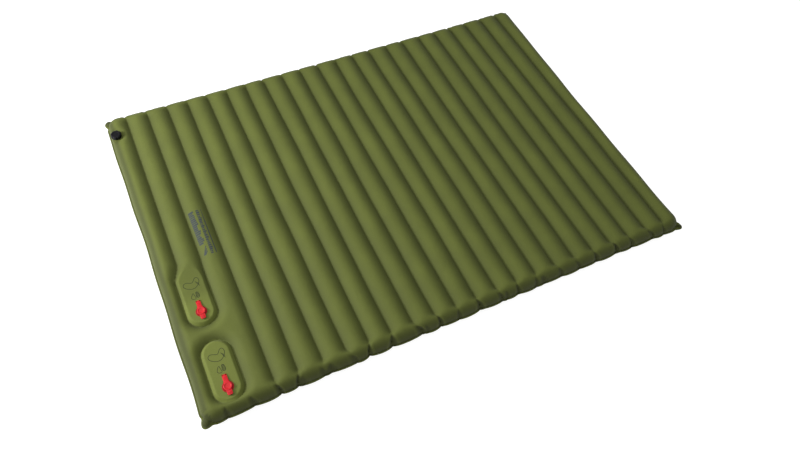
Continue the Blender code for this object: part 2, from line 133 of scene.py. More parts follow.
def plain_mesh(name: str, bm: bmesh.types.BMesh) -> bpy.types.Mesh:
    """Turn a bmesh into a mesh.

    Args:
        name: The mesh's name.
        bm: The bmesh, which is freed.

    Returns:
        The mesh.
    """
    mesh = bpy.data.meshes.new(name)
    bm.to_mesh(mesh)
    bm.free()
    return mesh


def smooth(mesh: bpy.types.Mesh, sharp_angle: float) -> bpy.types.Mesh:
    """Shade a mesh smooth, but keep its edges over an angle.

    Args:
        mesh: The mesh.
        sharp_angle: Edges over this angle, in degrees, stay sharp.

    Returns:
        The same mesh.
    """
    mesh.shade_smooth()
    mesh.set_sharp_from_angle(angle=math.radians(sharp_angle))
    return mesh


def places_of(mesh: bpy.types.Mesh) -> np.ndarray:
    """Read the places of a mesh's points.

    Args:
        mesh: The mesh.

    Returns:
        One row of x, y and z for each point.
    """
    flat = np.empty(len(mesh.vertices) * 3)
    mesh.vertices.foreach_get("co", flat)
    return flat.reshape(-1, 3)


def paint(mesh: bpy.types.Mesh, word: str, values: np.ndarray) -> None:
    """Paint a number on each point of a mesh, under a word."""
    layer = mesh.attributes.new(word, "FLOAT", "POINT")
    layer.data.foreach_set("value", values.astype(np.float32))


def raise_faces(bm: bmesh.types.BMesh) -> list[bmesh.types.BMVert]:
    """Extrude all of a bmesh's faces, where they lie.

    Args:
        bm: The bmesh.

    Returns:
        The new points, which are still to be moved.
    """
    raised = bmesh.ops.extrude_face_region(bm, geom=list(bm.faces))["geom"]
    return [item for item in raised if isinstance(item, bmesh.types.BMVert)]


def mesh_of(name: str, bm: bmesh.types.BMesh, sharp_angle: float = SHARP_ANGLE) -> bpy.types.Mesh:
    """Turn a bmesh into a smooth-shaded mesh that keeps its sharp edges.

    Args:
        name: The mesh's name.
        bm: The bmesh, which is freed.
        sharp_angle: Edges over this angle, in degrees, stay sharp.

    Returns:
        The mesh.
    """
    return smooth(plain_mesh(name, bm), sharp_angle)


def settle(piece: bpy.types.Object, sharp_angle: float = SHARP_ANGLE) -> bpy.types.Object:
    """Apply a piece's modifiers to its mesh.

    Args:
        piece: The piece with live modifiers.
        sharp_angle: Edges over this angle, in degrees, stay sharp.

    Returns:
        The same piece.
    """
    graph = bpy.context.evaluated_depsgraph_get()
    graph.update()
    made = bpy.data.meshes.new_from_object(
        piece.evaluated_get(graph), preserve_all_data_layers=True, depsgraph=graph
    )
    piece.modifiers.clear()
    piece.data = smooth(made, sharp_angle)
    return piece


def cut_away(piece: bpy.types.Object, tools: list[bpy.types.Object]) -> bpy.types.Object:
    """Cut tools out of a piece, and remove the tools.

    Args:
        piece: The piece to cut.
        tools: Closed solids.

    Returns:
        The cut piece.
    """
    for tool in tools:
        step = piece.modifiers.new("cut", "BOOLEAN")
        step.operation = "DIFFERENCE"
        step.object = tool
        step.solver = "EXACT"
    settle(piece)
    for tool in tools:
        bpy.data.objects.remove(tool, do_unlink=True)
    return piece


# ---------------------------------------------------------------- shader expressions
class Socket:
    """One shader value; arithmetic on it adds Math nodes."""

    def __init__(self, sheet: "NodeSheet", link: bpy.types.NodeSocket) -> None:
        """Wrap a socket of a sheet of nodes."""
        self.sheet = sheet
        self.link = link

    def _maths(self, operation: str, first: object, second: object) -> "Socket":
        """Add a Math node of two values."""
        return self.sheet.node("ShaderNodeMath", {"operation": operation}, {0: first, 1: second})

    def __add__(self, other: object) -> "Socket":
        """This plus other."""
        return self._maths("ADD", self, other)

    def __sub__(self, other: object) -> "Socket":
        """This minus other."""
        return self._maths("SUBTRACT", self, other)

    def __mul__(self, other: object) -> "Socket":
        """This times other."""
        return self._maths("MULTIPLY", self, other)

    def __rsub__(self, other: object) -> "Socket":
        """Other minus this."""
        return self._maths("SUBTRACT", other, self)

    __radd__ = __add__
    __rmul__ = __mul__

    def over(self, low: float, high: float) -> "Socket":
        """How far this lies between two numbers, held from 0 to 1."""
        values = {"Value": self, "From Min": low, "From Max": high}
        return self.sheet.node("ShaderNodeMapRange", {"clamp": True}, values)


class NodeSheet:
    """A material's node tree, filled through one method."""

    def __init__(self, name: str) -> None:
        """Start a material with its Principled shader."""
        self.material = bpy.data.materials.new(name)
        self.material.use_nodes = True
        self.tree = self.material.node_tree
        self.shader = self.tree.nodes["Principled BSDF"]

    def node(
        self, kind: str, settings: dict[str, object], values: dict[int | str, object], out: int | str = 0
    ) -> Socket:
        """Add any node.

        Args:
            kind: The node's type.
            settings: Its own settings, which are made first.
            values: Its sockets by name or place, each a number, a tuple or a Socket.
            out: The output to hand back.

        Returns:
            The chosen output.
        """
        made = self.tree.nodes.new(kind)
        for key, value in settings.items():
            setattr(made, key, value)
        for key, value in values.items():
            self.feed(made.inputs[key], value)
        return Socket(self, made.outputs[out])

    def feed(self, entry: bpy.types.NodeSocket, value: object) -> None:
        """Link a Socket to an entry, or set the entry to a number or tuple.

        Args:
            entry: The socket to feed.
            value: A Socket to link, or a number or tuple to set.
        """
        if isinstance(value, Socket):
            self.tree.links.new(value.link, entry)
        else:
            entry.default_value = value

    def wear(self, values: dict[str, object]) -> None:
        """Feed the shader's own sockets, each named in the values."""
        for key, value in values.items():
            self.feed(self.shader.inputs[key], value)

    def place(self) -> Socket:
        """The point's own place on the piece."""
        return self.node("ShaderNodeTexCoord", {}, {}, "Object")

    def noise(self, where: Socket, scale: float, detail: float = 2.0, roughness: float = 0.5) -> Socket:
        """Cloudy noise from 0 to 1 at a place."""
        values = {"Vector": where, "Scale": scale, "Detail": detail, "Roughness": roughness}
        return self.node("ShaderNodeTexNoise", {}, values, "Fac")

    def attribute(self, name: str) -> Socket:
        """A number painted on the piece's points."""
        return self.node("ShaderNodeAttribute", {"attribute_name": name}, {}, "Fac")

    def blend(self, share: object, first: object, second: object) -> Socket:
        """A colour between two colours."""
        settings = {"data_type": "RGBA"}
        return self.node("ShaderNodeMix", settings, {0: share, 6: first, 7: second}, 2)

    def bump(self, height: Socket, distance: float, strength: float = 1.0) -> Socket:
        """A normal tipped by a height."""
        values = {"Height": height, "Distance": distance, "Strength": strength}
        return self.node("ShaderNodeBump", {}, values, "Normal")


def shade(colour: Colour, factor: float) -> tuple[float, float, float, float]:
    """A colour made lighter or darker, with its alpha."""
    return (*(part * factor for part in colour), 1.0)


class Thread(Enum):
    """Ways a fabric's threads run."""

    WARP = "X"
    WEFT = "Y"


@dataclass(frozen=True)
class LaminatedCloth:
    """Coated polyester cloth with a fine weave, with painted shade in its hollows and painted light on the press
    panels.
    """

    name: str
    colour: Colour
    roughness: float = 0.70
    thread: float = 0.0009
    hollow_shade: float = 0.40
    # painted light: how much lighter the press panels are painted
    panel_light_factor: float = 1.26
    shine: float = 0.14
    sheen: float = 0.04

    def make(self) -> bpy.types.Material:
        """Build the cloth's material.

        Returns:
            The material.
        """
        sheet = NodeSheet(self.name)
        where = sheet.place()
        weave = self._threads(sheet, where, Thread.WARP) * self._threads(sheet, where, Thread.WEFT)
        cloud = sheet.noise(where, 9.0, 3.0)
        mottle = sheet.noise(where, 160.0, 2.0)
        tone = cloud.over(0.3, 0.7) * 0.7 + mottle.over(0.2, 0.8) * 0.3
        base = sheet.blend(tone, shade(self.colour, 0.90), shade(self.colour, 1.10))
        # painted shade in the hollows, and painted light on the press panels, each by its attribute
        for word, factor in (("hollow", self.hollow_shade), ("painted_panel_light", self.panel_light_factor)):
            base = sheet.blend(sheet.attribute(word), base, shade(self.colour, factor))
        creases = sheet.noise(where, 38.0, 4.0, 0.6)
        height = weave * 0.12 + creases * 0.8 + mottle * 0.15
        sheet.wear({
            "Base Color": base,
            "Roughness": cloud * 0.10 + (self.roughness - 0.05),
            "Normal": sheet.bump(height, MILLIMETRE, 0.6),
            "Specular IOR Level": self.shine,
            "Sheen Weight": self.sheen,
            "Sheen Roughness": 0.5,
        })
        return sheet.material

    def _threads(self, sheet: NodeSheet, where: Socket, way: Thread) -> Socket:
        """Fine bands of thread along one way.

        Args:
            sheet: The material's sheet.
            where: The point's place.
            way: Which threads.

        Returns:
            The bands, from 0 to 1.
        """
        scale = 2 * math.pi / (self.thread * WAVE_SCALE)
        settings = {"wave_type": "BANDS", "bands_direction": way.value, "wave_profile": "SIN"}
        return sheet.node("ShaderNodeTexWave", settings, {"Vector": where, "Scale": scale}, "Fac")


@dataclass(frozen=True)
class MouldedPlastic:
    """Injection-moulded plastic or rubber with a faint moulded grain."""

    name: str
    colour: Colour
    roughness: float
    shine: float = 0.14
    grain: float = 0.00006

    def make(self) -> bpy.types.Material:
        """Build the plastic's material.

        Returns:
            The material.
        """
        sheet = NodeSheet(self.name)
        where = sheet.place()
        cloud = sheet.noise(where, 60.0, 3.0)
        grain = sheet.noise(where, 1400.0, 2.0)
        sheet.wear({
            "Base Color": sheet.blend(cloud, shade(self.colour, 0.88), shade(self.colour, 1.08)),
            "Roughness": cloud * 0.12 + (self.roughness - 0.06),
            "Normal": sheet.bump(grain, self.grain, 0.5),
            "Specular IOR Level": self.shine,
        })
        return sheet.material


@dataclass(frozen=True)
class OpenFoam:
    """Open-cell foam with its pores."""

    name: str
    colour: Colour

    def make(self) -> bpy.types.Material:
        """Build the foam's material.

        Returns:
            The material.
        """
        sheet = NodeSheet(self.name)
        where = sheet.place()
        pores = sheet.node("ShaderNodeTexVoronoi", {}, {"Vector": where, "Scale": 420.0}, "Distance")
        cloud = sheet.noise(where, 30.0, 3.0)
        tone = pores.over(0.1, 0.6) * 0.7 + cloud * 0.3
        sheet.wear({
            "Base Color": sheet.blend(tone, shade(self.colour, 0.6), shade(self.colour, 1.1)),
            "Normal": sheet.bump(pores, 0.0008, 0.8),
            "Roughness": 0.95,
        })
        return sheet.material


@dataclass(frozen=True)
class PrintInk:
    """Matte ink printed on cloth, thin where the weave shows through."""

    name: str
    colour: Colour
    cloth: Colour

    def make(self) -> bpy.types.Material:
        """Build the ink's material.

        Returns:
            The material.
        """
        sheet = NodeSheet(self.name)
        where = sheet.place()
        wear = sheet.noise(where, 500.0, 3.0).over(0.52, 0.75)
        sheet.wear({
            "Base Color": sheet.blend(wear * 0.35, shade(self.colour, 1.0), shade(self.cloth, 1.0)),
            "Roughness": wear * 0.15 + 0.65,
            "Specular IOR Level": 0.15,
        })
        return sheet.material


OLIVE = (0.075, 0.089, 0.0170)
OLIVE_BASE = (0.060, 0.072, 0.0140)
RED = (0.390, 0.0120, 0.0150)

TOP_CLOTH = LaminatedCloth("olive_top_cloth", OLIVE)
BASE_CLOTH = LaminatedCloth("olive_base_cloth", OLIVE_BASE, 0.60)
WEB_CLOTH = LaminatedCloth("olive_web_cloth", OLIVE_BASE)
VALVE_RED = MouldedPlastic("valve_red_plastic", (0.230, 0.0040, 0.0060), 0.50)
PLUG_RED = MouldedPlastic("plug_red_plastic", RED, 0.34)
VALVE_BLACK = MouldedPlastic("valve_black_plastic", (0.0045, 0.0045, 0.0055), 0.45, 0.10)
SILICONE = MouldedPlastic("clear_silicone", (0.72, 0.70, 0.66), 0.5)
PUMP_FOAM = OpenFoam("pump_foam", (0.60, 0.56, 0.40))
DARK_INK = PrintInk("dark_olive_ink", (0.014, 0.017, 0.008), OLIVE)
BLUE_INK = PrintInk("slate_ink", (0.026, 0.032, 0.038), OLIVE)


# ---------------------------------------------------------------- the pad's plan
@dataclass
class PumpPlace:
    """One foot pump's oval in plan."""

    name: str
    x: float
    y: float
    width: float
    length: float
    valve: Vector

    @property
    def straight(self) -> float:
        """Half the length of the oval's straight sides."""
        return (self.length - self.width) / 2

    def distance(self, x: np.ndarray, y: np.ndarray) -> np.ndarray:
        """Distance from the oval's outline, negative inside it."""
        along = np.maximum(np.abs(y - self.y) - self.straight, 0.0)
        return np.hypot(x - self.x, along) - self.width / 2


@dataclass
class PadPlan:
    """Places and sizes of the pad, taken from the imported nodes."""

    half_x: float
    half_y: float
    grooves: np.ndarray
    height: float
    web_top: float
    pumps: list[PumpPlace]
    valve: Vector
    rim: float = 0.006
    weld: float = 0.0007

    @classmethod
    def read(cls) -> "PadPlan":
        """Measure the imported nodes.

        Returns:
            The plan.
        """
        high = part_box("top_skin")[1]
        webs = [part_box(f"baffle_{number:02d}") for number in range(1, WEB_COUNT + 1)]
        grooves = np.array([(web[0].x + web[1].x) / 2 for web in webs])
        pumps = []
        for name in ("upper", "lower"):
            wall_low, wall_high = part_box("pump_wall_" + name)
            flap_low, flap_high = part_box("intake_flap_" + name)
            centre = (wall_low + wall_high) / 2
            valve = (flap_low + flap_high) / 2
            size = wall_high - wall_low
            seat = Vector((valve.x, valve.y, PUMP_SEAT))
            pumps.append(PumpPlace(name, centre.x, centre.y, size.x, size.y, seat))
        seal_low, seal_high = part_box("deflate_valve_seal")
        valve = (seal_low + seal_high) / 2
        return cls(
            half_x=high.x, half_y=high.y, grooves=grooves, height=high.z,
            web_top=webs[-1][1].z + MILLIMETRE, pumps=pumps, valve=Vector((valve.x, valve.y, DEFLATE_SEAT)),
        )

    @property
    def seam(self) -> float:
        """Height of the weld seam."""
        return self.height / 2

    @property
    def pitch(self) -> float:
        """Width of one tube."""
        return float(self.grooves[1] - self.grooves[0])


@dataclass
class Pucker:
    """A short crease that runs in from the weld at a tube's end."""

    x: float
    side: int
    length: float
    depth: float
    lean: float
    width: float


@dataclass
class Inflated:
    """The shape of the blown-up fabric: tubes, pump pillows, rounded ends, creases and corners."""

    plan: PadPlan
    # the tubes
    edge_round: float = 0.048
    groove_round: float = 0.0016
    belly: float = 0.9424  # share of a groove's depth from which the underside lies flat
    groove_end: float = 0.14  # share of a groove's depth left at the weld
    weld_taper: float = 0.0015
    # the pumps, and the groove that runs round the upper one
    plateau: float = 0.690
    pump_edge: float = 0.75
    pump_run_out: float = 0.085
    shoulder_start: float = 0.046
    shoulder_run: float = 0.084
    seat_flat: float = 0.0225
    seat_blend: float = 0.018
    # the corners and the outline
    body_corner: float = 0.052
    corner_round: float = 0.017
    lobe_near: float = 0.0175
    lobe_far: float = 0.0095
    pull_end: float = 0.007
    pull_left: float = 0.006
    pull_right: float = 0.013
    nick_at: float = 0.038
    nick_width: float = 0.0085
    nick_side: float = 0.0045
    nick_end: float = 0.0035
    # the creases at the tubes' ends
    fork_run: float = 0.055
    extra_creases: float = 0.35
    deep_crease: float = 0.0095
    notch_in: float = 0.0065
    notch_up: float = 0.0040
    # the painted shade of hollows
    groove_dark: float = 0.64
    flank_dark: float = 0.95
    flank_reach: float = 0.036
    tuck_line: float = 0.018
    tuck_shade: float = 0.45
    tuck_dark: float = 0.40
    crease_shade: float = 0.003
    seed: int = 11

    def __post_init__(self) -> None:
        """Draw the pad's irregularities once, from one seed."""
        draw = np.random.default_rng(self.seed)
        plan = self.plan
        count = len(plan.grooves)
        self.forks = {-1: draw.uniform(-0.016, 0.026, count), 1: draw.uniform(-0.012, 0.012, count)}
        self.forks[-1][0:2] *= 0.5
        self.wobble = draw.uniform(-1.0, 1.0, (count, 4))
        self.swell = draw.uniform(-1.0, 1.0, (count + 1, 4))
        self.puckers: list[Pucker] = []
        for side in (-1, 1):
            for place in plan.grooves:
                pull = draw.uniform(0.35, 1.0)
                lean = draw.uniform(-0.5, 0.1)
                self.puckers.append(Pucker(place, side, 0.016 + 0.020 * pull, 0.0110 * pull, lean, 0.0036))
                if draw.uniform() < self.extra_creases:
                    away = place + draw.uniform(0.014, 0.026)
                    pull = draw.uniform(0.4, 0.9)
                    lean = draw.uniform(-0.6, 0.3)
                    self.puckers.append(Pucker(away, side, 0.012 + 0.012 * pull, 0.0070 * pull, lean, 0.0042))
        self.channel = self._channel()

    def _channel(self) -> np.ndarray:
        """The one groove that comes down between tubes 1 and 2, rounds the upper pump and goes back up.

        Returns:
            The groove's points, in order.
        """
        plan, pump = self.plan, self.plan.pumps[0]
        shoulder = pump.y + pump.length / 2 + self.shoulder_start
        radius, low = pump.width / 2, pump.y - pump.straight
        rise = np.linspace(plan.half_y + 0.1, shoulder, 8)
        turn = np.linspace(0.0, 1.0, 28)[1:]
        shoulder_y = shoulder - self.shoulder_run * turn
        side = np.linspace(shoulder_y[-1], low, 14)[1:]
        angle = np.linspace(math.pi, 2 * math.pi, 40)[1:-1]
        flanks = []
        for groove, edge in ((plan.grooves[0], pump.x - radius), (plan.grooves[1], pump.x + radius)):
            flank = [(groove, y) for y in rise]
            flank += [(groove + (edge - groove) * s, y) for s, y in zip(ease(turn), shoulder_y)]
            flanks.append(flank + [(edge, y) for y in side])
        round_end = [(pump.x + radius * math.cos(a), low + radius * math.sin(a)) for a in angle]
        return np.array([*flanks[0], *round_end, *flanks[1][::-1]])

    def _from_channel(self, x: np.ndarray, y: np.ndarray) -> np.ndarray:
        """Distance from the groove round the upper pump.

        Args:
            x: Places along X.
            y: Places along Y.

        Returns:
            The distances.
        """
        found = np.full(x.shape, 9.0)
        for (ax, ay), (bx, by) in zip(self.channel[:-1], self.channel[1:]):
            run = (bx - ax) ** 2 + (by - ay) ** 2
            if run < 1e-12:
                continue
            share = np.clip(((x - ax) * (bx - ax) + (y - ay) * (by - ay)) / run, 0.0, 1.0)
            found = np.minimum(found, np.hypot(x - ax - share * (bx - ax), y - ay - share * (by - ay)))
        return found

    def near(self, x: np.ndarray, y: np.ndarray) -> np.ndarray:
        """Distance from the nearest groove, tied seam or pump outline.

        Args:
            x: Places along X.
            y: Places along Y.

        Returns:
            The distances.
        """
        plan = self.plan
        plain = plan.grooves[2:]
        found = np.min(np.abs(x[..., None] - plain), axis=-1)
        by_pumps = x < plain[0]
        if by_pumps.any():
            px, py = x[by_pumps], y[by_pumps]
            pump_end = np.minimum(self._from_channel(px, py), np.abs(plan.pumps[1].distance(px, py)))
            found[by_pumps] = np.minimum(found[by_pumps], pump_end)
        return found

    def crown(self, x: np.ndarray, y: np.ndarray, top: bool) -> np.ndarray:
        """Share of the groove's depth that the fabric stands over it, from 0 in a groove to 1 on a crest.

        Args:
            x: Places along X.
            y: Places along Y.
            top: True for the upper sheet, False for the lower.

        Returns:
            The shares.
        """
        half = self.plan.pitch / 2
        near = self.near(x, y)
        near = np.sqrt(near**2 + self.groove_round**2) - self.groove_round
        if not top:
            full = 1.0 - (1.0 - np.clip(near / half, 0.0, 1.0)) ** 2
            return np.minimum(full / self.belly, 1.0)
        upper, lower = self.plan.pumps
        end = upper.y + upper.length / 2
        inside_lower = np.where(lower.distance(x, y) < 0, 1.0, 0.0)
        low_end = upper.distance(x, y) < 0
        in_channel = low_end | ((np.abs(x - upper.x) < upper.width / 2) & (y > upper.y))
        inside_upper = np.where(in_channel, ease((end + 0.030 - y) / self.pump_run_out), 0.0)
        inside = np.maximum(inside_lower, inside_upper)
        full = 1.0 - (1.0 - np.clip(near * (1.0 + self.pump_edge * inside) / half, 0.0, 1.0)) ** 2
        cap = 1.0 - (1.0 - self.plateau) * inside
        return soft_least(full, cap, 0.05)

    def open_crown(self, x: np.ndarray, y: np.ndarray) -> np.ndarray:
        """The crown outside the pumps, carried on down inside the ovals so that a cut along them is level.

        Args:
            x: Places along X.
            y: Places along Y.

        Returns:
            The shares, below 0 inside the ovals.
        """
        found = self.crown(x, y, top=True)
        half = self.plan.pitch / 2
        upper, lower = self.plan.pumps
        away = lower.distance(x, y)
        found = np.where(away < 0, 2.0 * away / half, found)
        away = upper.distance(x, y)
        closed = y < upper.y + 0.45 * upper.straight
        return np.where((away < 0) & closed, 2.0 * away / half, found)

    def fade(self, inward: np.ndarray) -> np.ndarray:
        """Share of a groove's depth that is left near a tube's end."""
        return self.groove_end + (1.0 - self.groove_end) * ease((inward - 0.020) / 0.034)

    def full_height(self, u: np.ndarray, v: np.ndarray, top: bool, opened: bool = False) -> np.ndarray:
        """Height of the fabric from the seam's plane.

        Args:
            u: Places along X on the flat cloth.
            v: Places along Y on the flat cloth.
            top: True for the upper sheet, False for the lower.
            opened: True to carry the surface on down inside the pump ovals.

        Returns:
            The heights, all positive.
        """
        plan = self.plan
        crown = self.open_crown(u, v) if opened else self.crown(u, v, top)
        in_end = np.maximum(plan.half_y - plan.rim - np.abs(v), 0.0)
        relief = (1.0 - crown) * self.fade(in_end)
        depth = plan.height - plan.web_top
        share = np.clip(self.inward(u, v) / self.edge_round, 0.0, 1.0)
        swell = self._swell(u, v) if top else 0.0
        return (plan.seam + swell - depth * relief) * np.sqrt(1.0 - (1.0 - share) ** 2)

    def face(self, x: np.ndarray, y: np.ndarray) -> np.ndarray:
        """Height of the upper sheet's face over the ground, before its creases."""
        return self.plan.seam + self.plan.weld + self.full_height(x, y, top=True)

    def inward(self, u: np.ndarray, v: np.ndarray) -> np.ndarray:
        """Distance in from the blown-up body's outline, which rounds its corners inside the weld.

        Args:
            u: Places along X on the flat cloth.
            v: Places along Y on the flat cloth.

        Returns:
            The distances, below 0 outside it.
        """
        plan, bend = self.plan, self.body_corner
        in_end = plan.half_y - plan.rim - np.abs(v)
        in_side = plan.half_x - plan.rim - np.abs(u)
        corner = bend - np.hypot(np.maximum(bend - in_side, 0.0), np.maximum(bend - in_end, 0.0))
        return np.where((in_side < bend) & (in_end < bend), corner, np.minimum(in_end, in_side))

    def _swell(self, u: np.ndarray, v: np.ndarray) -> np.ndarray:
        """Slight unevenness of the tubes' tops, none of it over the rated height.

        Args:
            u: Places along X on the flat cloth.
            v: Places along Y on the flat cloth.

        Returns:
            The rises.
        """
        plan = self.plan
        tube = np.searchsorted(plan.grooves, u)
        waves = self.swell[tube]
        rise = waves[..., 0] * np.sin(6.1 * v + 3 * waves[..., 1])
        rise = rise + waves[..., 2] * np.sin(14.3 * v + 5 * waves[..., 3])
        share = np.clip(np.min(np.abs(u[..., None] - plan.grooves), axis=-1) / (plan.pitch / 2), 0.0, 1.0)
        quiet = np.where(u < plan.grooves[2], 0.25, 1.0)
        return -0.0006 + 0.0005 * rise * ease(share) * quiet

    def seat_valve(self, x: np.ndarray, y: np.ndarray, z: np.ndarray) -> np.ndarray:
        """Draw the top sheet down flat round the deflate valve's flange.

        Args:
            x: Places along X.
            y: Places along Y.
            z: Heights over the ground.

        Returns:
            The heights, drawn down.
        """
        valve = self.plan.valve
        away = np.hypot(x - valve.x, y - valve.y)
        reach = ease((x + self.plan.half_x - self.plan.rim) / 0.009)
        share = reach * (1.0 - ease((away - self.seat_flat) / self.seat_blend))
        return z + (valve.z - z) * share

    def sheet(self, u: np.ndarray, v: np.ndarray, top: bool) -> tuple[np.ndarray, np.ndarray]:
        """Places of one whole sheet of the cover.

        Args:
            u: Places along X on the flat cloth, on a grid of columns by rows.
            v: Places along Y on the flat cloth.
            top: True for the upper sheet.

        Returns:
            The places in space, and the painted shade at each, by how hollow the surface is.
        """
        plan = self.plan
        height = self.full_height(u, v, top, opened=top)
        flat_x, flat_y = plan.half_x - self.weld_taper, plan.half_y - self.weld_taper
        edge = np.maximum(np.abs(u) - flat_x, np.abs(v) - flat_y)
        weld = plan.weld * (1.0 - np.clip(edge / self.weld_taper, 0.0, 1.0))
        sign = 1.0 if top else -1.0
        z, lobe = self._corner_lobes(u, v, plan.seam + sign * (weld + height), sign)
        if top:
            z = self.seat_valve(u, v, z)
        place = np.stack([u, v, z], axis=-1)
        place += self._drift(u, v)
        place = self._press_puckers(place, u, v, sign)
        place = self._shape_outline(place, u, v)
        place[..., 2] = np.maximum(place[..., 2], 0.0)
        return place, self._painted_shade(u, v, top, lobe)

    def _painted_shade(self, u: np.ndarray, v: np.ndarray, top: bool, lobe: np.ndarray) -> np.ndarray:
        """How hollow one sheet's surface is, for its painted shade.

        Args:
            u: Places along X on the flat cloth.
            v: Places along Y on the flat cloth.
            top: True for the upper sheet, False for the lower.
            lobe: How far the corner lobes stand over their crease.

        Returns:
            Shares from 0 to 1.
        """
        plan = self.plan
        # painted shade in the grooves
        hollow = self.groove_dark * (1.0 - self.crown(u, v, top)) ** 1.2
        hollow = hollow * self.fade(plan.half_y - plan.rim - np.abs(v))
        inward = self.inward(u, v)
        # painted shade on the flanks, darker towards the weld
        flank = self.flank_dark * (1.0 - np.clip(inward / self.flank_reach, 0.0, 1.0)) * (inward > -MILLIMETRE)
        # painted shade: a dark band in from the weld along the pump end
        inner = inward - self.tuck_line
        tucked = self.tuck_shade * (1.0 - ease(inner / 0.020)) + self.tuck_dark * np.exp(-((inner / 0.012) ** 2))
        pump_side = (u < 0.1 - plan.half_x) & (plan.half_y - np.abs(v) > 0.045)
        flank = np.where(pump_side, tucked, flank)
        # painted shade over the corner lobes
        flank = np.maximum(flank, np.where(lobe > MILLIMETRE, 1.0, 0.0))
        # painted shade in the creases at the tubes' ends
        dark = np.maximum(hollow, flank) + self._pucker_depth(u, v) / self.crease_shade
        return np.clip(dark, 0.0, 1.0)

    def _corner_lobes(
        self, u: np.ndarray, v: np.ndarray, z: np.ndarray, sign: float
    ) -> tuple[np.ndarray, np.ndarray]:
        """Small blown-up lobes at the four corners, outside a crease.

        Args:
            u: Places along X on the flat cloth.
            v: Places along Y on the flat cloth.
            z: Heights over the ground.
            sign: 1 for the upper sheet, -1 for the lower.

        Returns:
            The heights with the lobes, and how high the lobes stand.
        """
        plan = self.plan
        lobe = np.zeros_like(z)
        for side_x in (-1, 1):
            for side_y in (-1, 1):
                size = self.lobe_near if side_x < 0 else self.lobe_far
                in_from_weld = 2 * MILLIMETRE + size
                centre_x = side_x * (plan.half_x - in_from_weld)
                centre_y = side_y * (plan.half_y - in_from_weld)
                away = np.hypot((u - centre_x) / size, (v - centre_y) / size)
                lobe = np.maximum(lobe, np.clip(1.0 - away**2, 0.0, 1.0) ** 0.4 * size)
        raised = plan.seam + sign * 0.9 * lobe
        out = np.maximum(z, raised) if sign > 0 else np.minimum(z, raised)
        return out, lobe

    def _drift(self, u: np.ndarray, v: np.ndarray) -> np.ndarray:
        """Sideways wander of the grooves, and their forks towards the creases at the ends.

        Args:
            u: Places along X on the flat cloth.
            v: Places along Y on the flat cloth.

        Returns:
            Sideways moves in space.
        """
        plan = self.plan
        waves = self.wobble
        slow = waves[:, 0, None] * np.sin(5.3 * v[0] + 3 * waves[:, 1, None])
        lanes = slow + 0.6 * waves[:, 2, None] * np.sin(12.7 * v[0] + 4 * waves[:, 3, None])
        shift = np.empty_like(u)
        for row in range(u.shape[1]):
            shift[:, row] = np.interp(u[:, row], plan.grooves, lanes[:, row])
        away = np.min([pump.distance(u, v) for pump in plan.pumps], axis=0)
        calm = ease((u - plan.grooves[2]) / 0.10) * 0.0014 + 0.0006 * ease(away / 0.12)
        calm = np.where((u < plan.grooves[2]) & (v < plan.pumps[0].y + 0.24), 0.0, calm)
        shift *= calm * ease((plan.half_x - np.abs(u)) / 0.08)
        grooves = np.concatenate([[-plan.half_x], plan.grooves, [plan.half_x]])
        for side in (-1, 1):
            inward = plan.half_y - plan.rim - side * v
            run = 1.0 - ease(inward / self.fork_run)
            forks = np.concatenate([[0.0], self.forks[side], [0.0]])
            shift += np.interp(u, grooves, forks) * run
        return np.stack([shift, np.zeros_like(u), np.zeros_like(u)], axis=-1)

    def _pucker_depth(self, u: np.ndarray, v: np.ndarray) -> np.ndarray:
        """How far the creases at the tube ends press the fabric in.

        Args:
            u: Places along X on the flat cloth.
            v: Places along Y on the flat cloth.

        Returns:
            The depths.
        """
        plan = self.plan
        found = np.zeros_like(u)
        for crease in self.puckers:
            inward = np.maximum(plan.half_y - plan.rim - crease.side * v, 0.0)
            if inward.min() > crease.length:
                continue
            rows = inward < crease.length
            taper = np.clip(1.0 - inward / crease.length, 0.0, 1.0) ** 0.8
            aside = np.abs(u - crease.x - crease.lean * inward) / (crease.width * (0.5 + 0.8 * taper))
            shape = np.exp(-np.sqrt(aside**2 + 0.09) + 0.3) - 0.16 * np.exp(-((aside - 3.2) ** 2) / 1.6)
            found += np.where(rows, crease.depth * taper * shape, 0.0)
        return found

    def _press_puckers(self, place: np.ndarray, u: np.ndarray, v: np.ndarray, sign: float) -> np.ndarray:
        """Press the creases into a sheet along its own normals.

        Args:
            place: Places of one sheet.
            u: Places along X on the flat cloth.
            v: Places along Y on the flat cloth.
            sign: 1 for the upper sheet, -1 for the lower.

        Returns:
            The pressed places.
        """
        normal = np.cross(np.gradient(place, axis=0), np.gradient(place, axis=1))
        normal *= sign / np.maximum(np.linalg.norm(normal, axis=-1, keepdims=True), 1e-9)
        in_end = np.maximum(self.plan.half_y - self.plan.rim - np.abs(v), 0.0)
        depth = self._pucker_depth(u, v) * np.clip(in_end / 0.003, 0.0, 1.0)
        return place - normal * depth[..., None]

